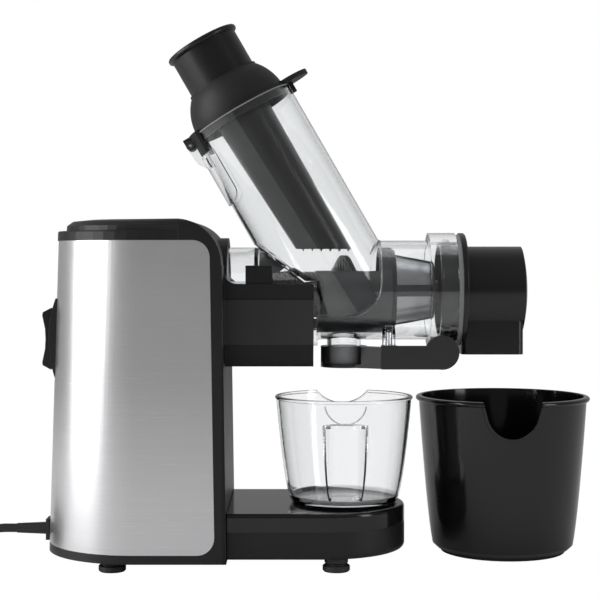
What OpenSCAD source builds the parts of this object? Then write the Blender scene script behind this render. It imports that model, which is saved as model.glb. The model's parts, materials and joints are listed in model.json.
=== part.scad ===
// Cold press juicer: motor tower, clear bowl with a wide leaning chute, cup and pulp bin.
// Millimetres, +Z up. Places are worked out from the auger's axis, which runs along X at Y = 0,
// and from the floor at Z = 0; the whole is then moved so that its own box is centred on the origin.

/* [Tower] */
// Height of the tower's top above the auger's axis
tower_up = 55.6; // [52:0.2:60]
// Height of the tower's lowest edge above the floor
tower_z0 = 9.6; // [8:0.2:12]
// Half of the tower's width at its lowest edge
tower_r0 = 74; // [73:0.5:78]
// Half of the tower's width at its top
tower_r1 = 71; // [70:0.5:74]
// Back of the tower at its lowest edge
tower_back0 = -199.4; // [-204:0.2:-197]
// Back of the tower at its top
tower_back1 = -191.6; // [-196:0.2:-190]
// Front face of the tower at its lowest edge
tower_front0 = -55.4; // [-56:0.1:-55]
// Front face of the tower at its top
tower_front1 = -59.3; // [-60:0.1:-58.5]
// Wall of the tower's mouldings
tower_wall = 3; // [2.4:0.2:4]
// Thickness of the steel sheet
steel_t = 1.2; // [0.8:0.1:1.5]
// Lower edge of the steel
steel_z0 = 16.4; // [15:0.2:18]
// Distance of the steel's upper edge below the tower's top
steel_drop = 16.5; // [14:0.5:20]
// Width of the black band between the steel and the front face
band_w = 9; // [8:0.2:12]
// Corner radius of the steel's window
steel_corner_r = 13; // [10:1:16]
// Radius of the tower's top front corner, seen from the side
tower_corner_r = 35.5; // [30:0.5:38]
// Radius of the tower's top edges, seen from the front
tower_edge_r = 8; // [4:1:12]

/* [Drive] */
// Height of the auger's axis above the floor
axis_z = 214.4; // [212:0.2:217]
// Radius of the drive shaft in its bearing
shaft_r = 8; // [7:0.5:9]
// Width across the flats of the drive hexagon
hex_flats = 12; // [10:0.5:13]
// Teeth of each pinion
pinion_teeth = 14; // [14:1:16]
// Teeth of each large gear
wheel_teeth = 42; // [40:1:44]
// Module of the first gear pair
module_a = 1; // [0.9:0.05:1.1]
// Module of the second gear pair
module_b = 1.5; // [1.4:0.05:1.6]
// Radius of the motor housing
motor_r = 36; // [30:1:38]
// Length of the motor housing
motor_l = 56; // [50:1:58]

/* [Neck] */
// Front end of the neck
neck_x1 = 10.4; // [8:0.2:11]
// Half of the neck's width
neck_half_w = 48; // [46:0.5:52]
// Height of the neck's top edge above the auger's axis
neck_up = 5.6; // [3.6:0.2:7.6]
// Distance of the neck's underside below the auger's axis
neck_down = 58.4; // [54:0.2:61]
// Radius of the fillet between the neck's top edges and the tower
neck_fillet_r = 10; // [6:1:14]
// Radius of the raised boss round the drive shaft
boss_r = 41.5; // [40:0.5:43]

/* [Bowl] */
// Outer radius of the bowl's rear barrel
rear_r = 34; // [33:0.5:35]
// Outer radius of the bowl's main barrel
barrel_r = 39.5; // [39:0.25:40.5]
// Wall of the bowl
bowl_wall = 3; // [2.5:0.1:3]
// Front end of the main barrel, where the flange starts
barrel_x1 = 102; // [100:0.5:104]
// Radius of the flange that takes the outlet cap
flange_r = 45.6; // [45:0.2:47]
// Length of that flange
flange_l = 21; // [20:0.5:23]
// Place of the juice spout along the bowl
spout_x = 35; // [33:0.5:37]
// Outer radius of the juice spout
spout_r = 13.5; // [12:0.5:14]
// Distance of the juice spout's lower end below the auger's axis
spout_drop = 44.2; // [43:0.2:48]

/* [Chute] */
// Lean of the chute from upright
chute_lean = 30; // [28:1:32]
// Where the chute's axis meets the auger's axis
chute_x = 35; // [34:0.5:36]
// Outer radius of the chute
chute_r = 43.8; // [43:0.1:45]
// Wall of the chute
chute_wall = 2.5; // [2:0.1:2.8]
// Length of the chute's axis from the auger to the rim
chute_l = 164; // [160:0.5:172]

/* [Lid and pusher] */
// Radius of the lid's dome
dome_r = 40; // [39.6:0.1:40.6]
// Height of the dome
dome_h = 28; // [26:0.2:29]
// Radius of the pusher's collar
collar_r = 28; // [26:0.5:28]
// Distance from the rim to the pusher's flange
collar_h = 63.8; // [60:0.1:66]
// Radius of the pusher's flange
pusher_flange_r = 30.5; // [30:0.5:33]
// Radius of the stem under the lid
stem_r1 = 23.4; // [22:0.2:24.4]
// Radius of the stem at its lower end
stem_r0 = 18.2; // [17:0.2:20]
// Tilt of the stem against the chute, so that its right side runs along the chute
stem_lean = 1.2; // [0:0.1:1.6]
// Height of the stem's cut end above the auger's axis
stem_up = 32.8; // [32:0.1:35]

/* [Screen and auger] */
// Radius of the auger's core at its rear
core_r = 15; // [13:0.5:16]
// Radius of the auger's flight
flight_r = 28; // [26:0.5:28]
// Length along which the flight makes one turn
flight_pitch = 44; // [40:1:48]
// Outer radius of the screen's open trough
screen_r = 34; // [33:0.25:34.5]
// Wall of the screen
screen_wall = 3; // [2:0.25:3.5]
// Where the closed ring of the screen starts
screen_ring_x = 62; // [58:1:64]
// Where the windowed cone starts
cone_x0 = 75; // [74:0.5:80]
// Outer radius of the cone where it starts
cone_r0 = 28.6; // [28:0.2:30]
// Outer radius of the cone's nose
nose_r = 22.6; // [21:0.2:24]

/* [Outlet cap] */
// Radius of the cap's barrel
cap_r = 34.8; // [34:0.2:36]
// Length of the cap's barrel
cap_l = 45; // [42:0.5:48]
// Distance of the pulp outlet's lower end below the auger's axis
outlet_drop = 50; // [46:0.5:52]
// Wall of the cap
cap_wall = 3; // [2.4:0.2:3.6]

/* [Drip lever] */
// Where the lever's pin stands along the bowl
lever_x = 69.6; // [69:0.2:72]
// Distance of the lever's pin in front of the mid-plane
lever_y = 24; // [23:0.5:25]
// Height of the lever
lever_h = 18.4; // [17:0.2:20]
// Radius of the silicone stopper
stopper_r = 13; // [12:0.5:13.4]
// Radius of the lever's paddle
paddle_r = 13.4; // [12:0.2:13.6]

/* [Platform and feet] */
// Front end of the platform
platform_x1 = 83.2; // [80:0.2:86]
// Half of the platform's width
platform_half_w = 64; // [62:0.5:68]
// Top of the platform
platform_z1 = 45.8; // [44:0.2:48]
// Seam between the platform's cover and the pan
platform_seam_z = 31.7; // [28:0.2:34]
// Underside of the platform
platform_z0 = 10.7; // [10.2:0.1:11.5]
// Rounding of the platform's top edge
platform_edge_r = 3; // [1:0.2:4]
// Rounding of the pan's lower edge under the platform
pan_edge_r = 4; // [2:0.5:6]
// Radius of a foot's pad
foot_r = 10.5; // [9:0.5:12]

/* [Juice cup] */
// Radius of the cup's rim
cup_r = 55; // [53:0.5:56]
// Height of the cup
cup_h = 84.5; // [80:0.5:86]
// Radius of the cup's base
cup_base_r = 41; // [39:0.5:43]
// Wall of the cup
cup_wall = 2.4; // [2:0.1:3]
// Radius of the grip recess in the cup's side
grip_r = 16; // [14:0.5:17]
// Radius of the pouring notch in the cup's rim
pour_r = 27; // [22:1:30]

/* [Pulp container] */
// Radius of the container's rim
bin_r = 71; // [67:0.5:73]
// Height of the container
bin_h = 127; // [120:0.5:130]
// Radius of the container's side at its lower end
bin_base_r = 55.4; // [54:0.2:57]
// Radius of the container's foot ring
bin_foot_r = 50.5; // [49:0.5:52]
// Wall of the container
bin_wall = 2.4; // [2:0.1:3]
// Place of the container's axis along X
bin_x = 166.6; // [164:0.1:168]
// Place of the container's axis behind the mid-plane
bin_y = 36; // [24:1:40]
// Radius of the notch in the container's rim
bin_notch_r = 20.3; // [18:0.1:22]
// Depth of that notch
bin_notch_h = 28.7; // [26:0.1:32]

/* [Cord] */
// Diameter of the mains cord
cord_d = 6.9; // [6:0.1:7]
// Height of the cord's outlet above the floor
cord_z = 24.2; // [23:0.2:26]

/* [Hidden] */
$fn = 96;

gap = 0.3;        // clearance between pieces that move past each other
fit = 0.05;       // radial running clearance of pins, shafts and bearings
eps = 0.02;       // height of the thin slabs that hulls are stretched over
far = 400;        // longer than anything that it cuts

// Tower
tower_z1 = axis_z + tower_up;
steel_z1 = tower_z1 - steel_drop;
cap_seam_x = tower_front1 - tower_corner_r + 3;
ledge_w = 6;
rim_out = 0.8;
edge_over = 0.4;  // how far the rounding of the top edges starts outside the tower's top
rim_h = 7.5;
skirt_h = 2;
wall_x = at_z(axis_z, tower_front0, tower_front1);
front_t = 4;
neck_z1 = axis_z + neck_up;
neck_z0 = axis_z - neck_down;
neck_step = 1.2;  // how far the neck's sides step in under its top band

// Gear train, seen from the front: output gear on top, idler below it, motor at the bottom
pair_a = module_a * (pinion_teeth + wheel_teeth) / 2;
pair_b = module_b * (pinion_teeth + wheel_teeth) / 2;
idler_z = axis_z - pair_b;
motor_z = idler_z - pair_a;
pressure = 20;
backlash = 0.25;
tip = 0.8;
root = 1.15;
pair_a_x = -104;
pair_a_w = 7;
pair_b_x = -93;
pair_b_w = 12;
gear_back_x = -111;
gear_back_t = 4;
gear_front_x = -74;
gear_wall = 3;
gearbox_half_w = 37;
gearbox_z0 = motor_z - 14;
gearbox_z1 = axis_z + 36.4;
idler_pin_r = 4;
rotor_r = 20;
rotor_shaft_r = 4;
motor_x = gear_back_x - motor_l;
motor_wall = 2.5;
bearing_r = 14;
bearing_x0 = wall_x - 11;
bearing_x1 = wall_x - 4;
seal_x1 = wall_x + 1.5;
hex_x1 = -22;
hex_r = hex_flats / 2 / cos(30);

// Bowl and what sits in it
trough_r = rear_r + 2;
boss_x1 = -56.8;
bowl_x0 = boss_x1 + gap;
bulkhead_x = -36;
bulkhead_t = 3;
journal_r = 10.5;
step_x = neck_x1 + gap;
foot_flange_r = 44.4;
foot_flange_t = 3.4;
flange_x1 = barrel_x1 + flange_l;
sleeve_r = flange_r - 7.2;
hopper_x1 = 63.3;
hopper_z0 = axis_z - 20.4;
hopper_z1 = axis_z + 39.6;
hopper_corner_r = 26;
floor_x0 = -36;
floor_z0 = axis_z + 36;
floor_x1 = 4.6;
floor_z1 = neck_z1 + gap;
screen_x0 = bulkhead_x + bulkhead_t + 1;
screen_x1 = barrel_x1 + 4;
screen_open_z = axis_z + 15.2;
rear_screen_r = rear_r - bowl_wall - gap;
cut_out_x = -2;
cut_out_r = 21;
screw_x0 = screen_x0 + 2;
screw_x1 = screen_x1 - 4;
window_x0 = cone_x0 + 0.9;
window_x1 = screen_x1 - 3;
rib_w = 9;
spout_z = axis_z - spout_drop;

// Lid and pusher
hinge_u = -chute_r - 4.2;
hinge_s = chute_l - 4;
strap_s = chute_l - 16;
pad_h = 44;
pad_w = 10.7;
pad_t = 2;
pad_corner_r = 9;
hinge_lug_r = 3.8;
lid_pin_r = 1.2;
lid_t = 2.5;
gasket_t = 0.8;
lid_s = chute_l + gasket_t;
dome_s = lid_s + 0.6;
lip_w = 1.6;
flange_s = lid_s + collar_h - 4.6;
stem_z = axis_z + stem_up;
stem_teeth = 6;
tooth_pitch = 7.2;
teeth_shift = 4.5;  // from the chute's axis to the middle of the row of teeth
tooth_h = 2.2;

// Outlet cap
cap_x0 = flange_x1 + 3.5;
cap_disc_t = 4.5;
cap_x1 = cap_x0 + cap_disc_t + cap_l;
sleeve_x0 = flange_x1 - 13;
lug_x0 = sleeve_x0 + 2;
lug_l = 5;
lug_h = 1.5;
lug_turn = 30;
outlet_x0 = cap_x0;
outlet_x1 = cap_x1 - 0.8;
outlet_z = axis_z - outlet_drop;
outlet_half_w = 26;
outlet_corner_r = 5.3;

// Drip lever
lever_z1 = axis_z - barrel_r - 3.3;
lever_z0 = lever_z1 - lever_h;
lever_pin_r = 2;
lever_hub_r = 6.2;
tray_half_w = stopper_r + 5.4;
tray_floor_t = 3;
plate_t = 3;
plate_y1 = -lever_y - lever_hub_r - 0.2;
paddle_x = lever_x + 41.1;
paddle_z = lever_z0 + paddle_r - 0.2;
stopper_z1 = spout_z - gap;

// Switch
switch_z = 176;
bezel_h = 64;
bezel_half_w = 17;
rocker_h = 50;
rocker_half_w = 12;
switch_x = at_z(switch_z, tower_back0, tower_back1);
rocker_out = 9.8;
rocker_x = switch_x + 4;
rocker_pin_r = 2;

// Button in the near lip of the neck
button_x0 = -42;
button_x1 = -21.5;
button_y0 = -neck_half_w + 1.8;
button_y1 = button_y0 + 8;
button_z1 = neck_z1 + 14.2;
button_z0 = neck_z1 - 8;
pocket_z0 = button_z0 - 6;
spring_z0 = neck_z1 - 24;
spring_r = 2.6;

// Cup and bin
cup_x = spout_x;
cup_bead_r = 1.3;
cup_floor_t = 3;
pour_h = 11.3;
grip_h0 = 9;
grip_h1 = 63;
scoop_z1 = cup_h - 4.1;
bin_bead_r = 2;
bin_foot_h = 2;
bin_notch_w = 48.4;
bin_bend_a = 165;  // where the notch's round lower end turns into its straight sides
trim_w = 2.4;
trim_t = 1;

// Feet and screws
foot_x = [-144, 27.8];
foot_y = 49;
foot_pad_h = 5;
platform_end_x = platform_x1 - platform_half_w;
pan_t = 3;
screw_spots = [[-62.5, -56], [-62.5, 56], [-144, -32], [-144, 32], [-22, -54], [-22, 54],
  [52, -36], [52, 36]];
screw_r = 1.6;
screw_head_r = 3.4;
screw_l = 14;
boss_post_r = 4.5;

// Motor's cradle and the circuit board beside it
cradle_x = foot_x[0];
cradle_t = 14;
cradle_half_w = 40;
board_x0 = -132;
board_x1 = -76;
board_y0 = -62;
board_y1 = -20;

// Cord: leaves the back, runs level out of sight, drops to the floor and goes into a round coil
coil_x = -318;
coil_r_in = 34.6;
coil_r_out = 48.4;
coil_h = 2 * cord_d;
turn_r = coil_r_out - cord_d / 2;
lead_in_x = -290;
tail_y = 32;
flange_x0 = -202;
plug_h = 2 * coil_h - cord_d - 0.1;
relief_l = 24;
cord_route = [[-196, 0, 24.2], [-206, 0, 24.2], [-216, 0, 24.2], [-226, 0, 24.2], [-236, 0, 24.2],
  [-244, 0, 23.6], [-251, 0, 21.6], [-257, 0, 18.4], [-263, 0, 13.8], [-269, 0, 9.4], [-275, 0, 5.8],
  [-281, 0, 3.9], [-286, 0, 3.45], [-290, 0, 3.45]];
cord_sides = 10;

// The box of the object without its cord is centred on the origin
box_x0 = switch_x - rocker_out;
box_x1 = bin_x + bin_r;
box_y0 = -tower_r0;
box_y1 = bin_y + bin_r;
origin_x = (box_x0 + box_x1) / 2;
origin_y = (box_y0 + box_y1) / 2;

function at_z(z, low, high) = low + (high - low) * (z - tower_z0) / (tower_z1 - tower_z0);

// ---- helpers ----

module on_origin() translate([-origin_x, -origin_y, 0]) children();

// Along the auger's axis: the child's +Z points to +X
module on_axis(x) translate([x, 0, axis_z]) rotate([0, 90, 0]) children();

module ring_x(x0, x1, r_out, r_in) on_axis(x0) difference() {
  cylinder(h = x1 - x0, r = r_out);
  translate([0, 0, -1]) cylinder(h = x1 - x0 + 2, r = r_in);
}

module disc_x(x0, x1, r) on_axis(x0) cylinder(h = x1 - x0, r = r);

// In the chute's own frame: +Z up its axis, +X to its right-hand side
module in_chute() translate([chute_x, 0, axis_z]) rotate([0, -chute_lean, 0]) children();

// A shape drawn in the XZ plane, stretched to w each side of the mid-plane
module side_prism(w) rotate([90, 0, 0]) linear_extrude(height = 2 * w, center = true) children();

module tube(h, r_out, r_in) difference() {
  cylinder(h = h, r = r_out);
  translate([0, 0, -1]) cylinder(h = h + 2, r = r_in);
}

module box(x0, x1, y0, y1, z0, z1) translate([x0, y0, z0]) cube([x1 - x0, y1 - y0, z1 - z0]);

// Plan of the tower: round at the back, square at the front
module d_plan(z, inset) {
  r = at_z(z, tower_r0, tower_r1) - inset;
  back = at_z(z, tower_back0, tower_back1) + inset;
  front = at_z(z, tower_front0, tower_front1) - inset;
  intersection() {
    union() {
      translate([back + r, 0]) circle(r, $fn = 144);
      translate([back + r, -r]) square([front - back - r, 2 * r]);
    }
    translate([back, -r]) square([front - back, 2 * r]);
  }
}

module tower_solid(inset, z0, z1) hull() {
  translate([0, 0, z0]) linear_extrude(eps) d_plan(z0, inset);
  translate([0, 0, z1 - eps]) linear_extrude(eps) d_plan(z1, inset);
}

// Side view of the tower, with its rounded top front corner
module tower_side(inset) {
  r = tower_corner_r;
  difference() {
    translate([-far, -1]) square([far, tower_z1 - inset + 1]);
    translate([tower_front1 - r, tower_z1 - r]) difference() {
      square([r + 30, r + 30]);
      circle(r - inset);
    }
  }
}

// Front view of the tower, with its rounded top edges
module tower_edges(inset) rotate([90, 0, 90]) linear_extrude(height = 2 * far, center = true) {
  r = tower_edge_r;
  w = tower_r1 + edge_over - r;
  polygon(concat([[-far, -1], [far, -1], [far, tower_z1 - r], [w + r - inset, tower_z1 - r]],
    arc(w, tower_z1 - r, r - inset, 0, 90), arc(-w, tower_z1 - r, r - inset, 90, 180),
    [[-far, tower_z1 - r]]));
}

module tower_form(inset, z0, z1) intersection() {
  tower_solid(inset, z0, z1);
  side_prism(far / 2) tower_side(inset);
  tower_edges(inset);
}

function arc(x, y, r, a0, a1, n = 8) = [for (i = [0 : n]) let (a = a0 + (a1 - a0) * i / n)
  [x + r * cos(a), y + r * sin(a)]];

// The steel's window, seen from the side, with rounded front corners
module steel_side(grow) {
  r = steel_corner_r + grow;
  x0 = at_z(steel_z0, tower_front0, tower_front1) - band_w + grow;
  x1 = at_z(steel_z1, tower_front0, tower_front1) - band_w + grow;
  z0 = steel_z0 - grow;
  z1 = steel_z1 + grow;
  polygon(concat([[-far / 2, z1], [-far / 2, z0]], arc(x0 - r, z0 + r, r, -90, 0),
    arc(x1 - r, z1 - r, r, 0, 90)));
}

// ---- tower ----

module tower_shell() difference() {
  tower_form(0, tower_z0, tower_z1);
  tower_form(tower_wall, tower_z0 - 1, tower_z1);
}

// Section of the neck: a band along its top, then sides that step in and slant to its underside
module neck_outline() {
  side = [[neck_half_w - 9, neck_z0], [neck_half_w - 9, neck_z0 + 2],
    [neck_half_w - neck_step, neck_z0 + 17], [neck_half_w - neck_step, neck_z1 - 11 - neck_step],
    [neck_half_w, neck_z1 - 11], [neck_half_w, neck_z1 + neck_fillet_r]];
  polygon(concat(side, [for (i = [len(side) - 1 : -1 : 0]) [-side[i][0], side[i][1]]]));
}

module neck() difference() {
  x0 = wall_x - 1;
  translate([x0, 0, 0]) rotate([90, 0, 90]) linear_extrude(neck_x1 - x0) neck_outline();
  // level top, with a fillet where it meets the tower
  side_prism(neck_half_w + 1) difference() {
    translate([wall_x, neck_z1]) square([far, neck_fillet_r + 1]);
    translate([wall_x, neck_z1]) difference() {
      square(neck_fillet_r);
      translate([neck_fillet_r, neck_fillet_r]) circle(neck_fillet_r);
    }
  }
  disc_x(wall_x + 0.5, far, trough_r);
  box(wall_x + 0.5, far, -trough_r, trough_r, axis_z, far);
  // hollow underside of the cradle
  for (s = [-1, 1]) translate([0, s * 20, 0])
    box(wall_x + 8, neck_x1 - 3, -14, 14, neck_z0 - 1, axis_z - trough_r - 3);
  box(button_x0 - gap, button_x1 + gap, button_y0 - gap, button_y1 + gap, pocket_z0, far);
  translate([(button_x0 + button_x1) / 2, (button_y0 + button_y1) / 2, spring_z0])
    cylinder(h = far, r = spring_r + 0.9);
}

module front_frame() color([0.09, 0.09, 0.1]) difference() {
  union() {
    // side band and front wall, outside the steel's window
    difference() {
      intersection() {
        tower_shell();
        box(cap_seam_x, far, -far, far, 0, far);
      }
      side_prism(far / 2) steel_side(0);
    }
    // ledge behind the steel's front edge
    intersection() {
      difference() {
        tower_solid(steel_t, steel_z0 + 1, steel_z1 - 1);
        tower_solid(steel_t + 2, steel_z0, steel_z1);
      }
      side_prism(far / 2) difference() {
        steel_side(1);
        steel_side(-ledge_w);
      }
      box(cap_seam_x, far, -far, far, 0, far);
    }
    disc_x(wall_x - 6, boss_x1, boss_r);
    disc_x(bearing_x0 - 2, wall_x, bearing_r + 3);
    neck();
    for (i = [0, 1]) translate([screw_spots[i][0], screw_spots[i][1], tower_z0 + pan_t]) {
      cylinder(h = 18, r = boss_post_r);
      translate([0, -2, 0]) cube([tower_front0 - 1 - screw_spots[i][0], 4, 18]);
    }
  }
  // space behind the boss, bearing seat and seal seat
  difference() {
    disc_x(wall_x - 8, wall_x - front_t, boss_r - tower_wall);
    disc_x(bearing_x0 - 3, wall_x, bearing_r + 3);
  }
  disc_x(wall_x + 0.5, boss_x1 + 1, trough_r + 0.5);
  disc_x(bearing_x0 - 3, boss_x1 + 1, bearing_r);
  // way for the pan's tongue under the front wall
  box(tower_front0 - tower_wall - 8, far, -50 - gap, 50 + gap, 0, platform_z0 + pan_t + gap);
  for (i = [0, 1]) translate([screw_spots[i][0], screw_spots[i][1], 0])
    cylinder(h = pan_t + screw_l + tower_z0, r = screw_r);
}

module steel_wrap() color([0.72, 0.72, 0.73]) difference() {
  intersection() {
    difference() {
      tower_solid(0, steel_z0, steel_z1);
      tower_solid(steel_t, steel_z0 - 1, steel_z1 + 1);
    }
    side_prism(far / 2) steel_side(0);
  }
  box(-far, switch_x + 12, -bezel_half_w - fit, bezel_half_w + fit, switch_z - bezel_h / 2 - fit,
    switch_z + bezel_h / 2 + fit);
  box(-far, -180, -7, 7, 0, cord_z + 7);
}

// Half of the cap's width at its seam with the front frame: upright sides, then the rounded edge
function seam_half_w(z) = let (r = tower_edge_r, up = max(0, z - tower_z1 + r))
  min(at_z(z, tower_r0, tower_r1), tower_r1 + edge_over - r + sqrt(max(0, r * r - up * up)));

// Level loop round the cap, set in by inset round its back, which lies out further, by wall at its
// seam and by side at the seam's two ends
function cap_loop(z, inset, out, wall, side) = let (
    r = at_z(z, tower_r0, tower_r1) - inset,
    centre = at_z(z, tower_back0, tower_back1) + at_z(z, tower_r0, tower_r1) - out,
    seam = cap_seam_x - wall,
    w = seam_half_w(z + wall) - side,
    a0 = atan2(w, seam - centre) + acos(r / norm([seam - centre, w])))
  concat([[seam, w, z]],
    [for (k = [0 : 24]) let (a = a0 + (360 - 2 * a0) * k / 24) [centre + r * cos(a), r * sin(a), z]],
    [[seam, -w, z]]);

// Inset of the cap's raised middle at height z
function crown_inset(z) = lookup(z, [[tower_z1 - 5, 6], [tower_z1 - 1.4, 10.5], [tower_z1, 24]]);

module top_cap() color([0.1, 0.1, 0.11]) {
  rim_z1 = steel_z1 + rim_h;
  skirt = steel_t + 0.2;
  crown = [for (k = [1 : 8]) tower_z1 - tower_edge_r * (1 - sin(k * 90 / 8))];
  looped(concat(
    [for (k = [8 : -2 : 2]) let (z = crown[k - 1] - tower_wall)
      cap_loop(z, crown_inset(z + tower_wall) + tower_wall, 0, tower_wall, tower_wall)],
    [cap_loop(steel_z1 - skirt_h, 6 + tower_wall, 0, tower_wall, tower_wall),
      cap_loop(steel_z1 - skirt_h, skirt, 0, gap, skirt), cap_loop(steel_z1, skirt, 0, gap, skirt),
      cap_loop(steel_z1, 0, rim_out, 0, 0), cap_loop(rim_z1 - 0.8, 0, rim_out, 0, 0),
      cap_loop(rim_z1, 0.8, rim_out, 0, 0), cap_loop(rim_z1 + 0.1, 6, 0, 0, 0)],
    [for (z = crown) cap_loop(z, crown_inset(z), 0, 0, 0)]));
}

// ---- base ----

// Plan of the platform: square at the tower, a half circle at its front end
module platform_plan(inset) {
  w = platform_half_w - inset;
  translate([tower_front0, -w]) square([platform_end_x - tower_front0, 2 * w]);
  translate([platform_end_x, 0]) circle(w);
}

// Underside of the pan at x: the tower stands a little lower than the platform
function pan_under(x) = x < tower_front0 ? tower_z0 : platform_z0;

module base_pan() color([0.1, 0.1, 0.11]) difference() {
  union() {
    // floor of the tower, inside the front frame and flush with the steel behind the seam
    intersection() {
      union() {
        tower_solid(tower_wall + gap / 2, tower_z0, tower_z0 + pan_t);
        intersection() {
          difference() {
            tower_solid(0, tower_z0, steel_z0);
            tower_solid(tower_wall, tower_z0 + pan_t, steel_z0 + 1);
          }
          box(-far, cap_seam_x, -far, far, 0, far);
        }
      }
      box(-far, tower_front0, -far, far, 0, far);
    }
    // tongue under the front wall
    box(tower_front0 - tower_wall - 6, tower_front0 + 4, -50, 50, platform_z0, platform_z0 + pan_t);
    // tub of the platform
    difference() {
      translate([0, 0, platform_seam_z]) mirror([0, 0, 1])
        platform_slab(platform_seam_z - platform_z0, pan_edge_r);
      translate([0, 0, platform_z0 + pan_t]) linear_extrude(far) platform_plan(pan_t + 2);
    }
    // posts under the circuit board
    for (x = [board_x0 + 4, board_x1 - 4], y = [board_y0 + 4, board_y1 - 4])
      translate([x, y, tower_z0 + 1]) cylinder(h = 15.4, r = 3);
  }
  for (p = screw_spots) translate([p[0], p[1], 0]) {
    cylinder(h = far, r = screw_r + 0.3);
    cylinder(h = pan_under(p[0]) + 1.8, r = screw_head_r + 0.4);
  }
  for (x = foot_x, s = [-1, 1]) translate([x, s * foot_y, 0]) cylinder(h = far, r = 3);
  box(-far, -190, -7, 7, 15, far);
}

// Half profile of a plate of half width w and height h with a rounded top edge
function edge_profile(w, h, r) = concat([[0, 0], [w, 0]], arc(w - r, h - r, r, 0, 90, 6), [[0, h]]);

// Block over the platform's plan, h high, with its top edge rounded by edge_r
module platform_slab(h, edge_r) {
  translate([platform_end_x, 0, 0]) rotate_extrude() polygon(edge_profile(platform_half_w, h, edge_r));
  for (s = [0, 1]) translate([tower_front0, 0, 0]) mirror([0, s, 0]) rotate([90, 0, 90])
    linear_extrude(platform_end_x - tower_front0) polygon(edge_profile(platform_half_w, h, edge_r));
}

module platform_cover() color([0.06, 0.06, 0.07]) difference() {
  union() {
    difference() {
      translate([0, 0, platform_seam_z]) platform_slab(platform_z1 - platform_seam_z, platform_edge_r);
      translate([0, 0, platform_seam_z - 1]) linear_extrude(platform_z1 - platform_seam_z - 2)
        platform_plan(2.5);
    }
    for (i = [4 : 7]) translate([screw_spots[i][0], screw_spots[i][1], platform_z0 + pan_t])
      cylinder(h = platform_z1 - platform_z0 - pan_t - 2, r = boss_post_r);
  }
  for (i = [4 : 7]) translate([screw_spots[i][0], screw_spots[i][1], 0])
    cylinder(h = platform_z0 + screw_l + pan_t, r = screw_r);
}

module feet() color([0.13, 0.13, 0.13])
  for (x = foot_x, s = [-1, 1]) {
    under = pan_under(x);
    translate([x, s * foot_y, 0]) {
      rotate_extrude() polygon([[0, 0], [foot_r - 1, 0], [foot_r, 1], [foot_r, foot_pad_h - 0.8],
        [foot_r - 0.8, foot_pad_h], [foot_r - 2.6, foot_pad_h], [foot_r - 2.6, foot_pad_h + 1],
        [foot_r - 1.4, foot_pad_h + 2], [foot_r - 1.4, under], [0, under]]);
      cylinder(h = under + pan_t, r = 3);
    }
  }

module base_screws() color("silver")
  for (i = [0 : len(screw_spots) - 1]) {
    p = screw_spots[i];
    translate([p[0], p[1], pan_under(p[0]) + 0.2]) {
      cylinder(h = 1.6, r = screw_head_r);
      translate([0, 0, 1]) cylinder(h = screw_l - 1, r = screw_r);
    }
  }

// ---- motor and gears ----

function involute(base, rho) = let (t = sqrt(max(0, pow(rho / base, 2) - 1))) t * 180 / PI - atan(t);

// Half of a tooth's angle at radius rho
function tooth_half(teeth, m, rho) =
  let (r = m * teeth / 2, base = r * cos(pressure))
  90 / teeth - 45 * backlash / (PI * r) + involute(base, r) - involute(base, max(rho, base));

module gear_2d(teeth, m, phase) {
  r = m * teeth / 2;
  rings = [r - root * m, r - 0.45 * m, r, r + 0.45 * m, r + tip * m];
  polygon([for (i = [0 : teeth - 1]) let (mid = phase + i * 360 / teeth)
    each concat(
      [for (rho = rings) let (a = mid - tooth_half(teeth, m, rho)) [rho * cos(a), rho * sin(a)]],
      [for (k = [len(rings) - 1 : -1 : 0])
        let (a = mid + tooth_half(teeth, m, rings[k])) [rings[k] * cos(a), rings[k] * sin(a)]])]);
}

// A gear on an axis parallel to X at height z: a tooth, or a gap, points down or up
module gear_x(x, z, w, teeth, m, up, tooth) translate([x, 0, z]) rotate([90, 0, 90])
  linear_extrude(w) gear_2d(teeth, m, (up ? 90 : -90) + (tooth ? 0 : 180 / teeth));

module motor_can() color([0.55, 0.56, 0.58]) translate([motor_x, 0, motor_z]) rotate([0, 90, 0])
  difference() {
    cylinder(h = motor_l, r = motor_r);
    translate([0, 0, motor_wall]) cylinder(h = motor_l - 2 * motor_wall, r = motor_r - motor_wall);
    translate([0, 0, -1]) cylinder(h = motor_l + 2, r = rotor_shaft_r + fit);
    for (a = [0 : 60 : 300]) rotate(a) translate([22, 0, -1]) cylinder(h = motor_wall + 2, r = 4);
  }

module motor_stator() color([0.62, 0.36, 0.16])
  translate([motor_x + 10, 0, motor_z]) rotate([0, 90, 0]) tube(motor_l - 20, motor_r - motor_wall,
    rotor_r + 1);

module motor_rotor() color([0.5, 0.5, 0.52]) {
  translate([motor_x - 3, 0, motor_z]) rotate([0, 90, 0])
    cylinder(h = pair_a_x + pair_a_w + 1 - motor_x + 3, r = rotor_shaft_r);
  translate([motor_x + 12, 0, motor_z]) rotate([0, 90, 0]) cylinder(h = motor_l - 24, r = rotor_r);
  gear_x(pair_a_x - 0.5, motor_z, pair_a_w + 1, pinion_teeth, module_a, true, false);
}

module motor_cradle() color([0.2, 0.2, 0.22]) difference() {
  box(cradle_x - cradle_t / 2, cradle_x + cradle_t / 2, -cradle_half_w, cradle_half_w, tower_z0 + pan_t,
    motor_z - 4);
  translate([-far / 2, 0, motor_z]) rotate([0, 90, 0]) cylinder(h = far, r = motor_r);
  box(cradle_x - cradle_t, cradle_x + cradle_t, -cradle_half_w + 14, cradle_half_w - 14,
    tower_z0 + pan_t + 14, motor_z - motor_r - 12);
  for (i = [2, 3]) translate([screw_spots[i][0], screw_spots[i][1], 0])
    cylinder(h = tower_z0 + pan_t + screw_l, r = screw_r);
}

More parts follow.
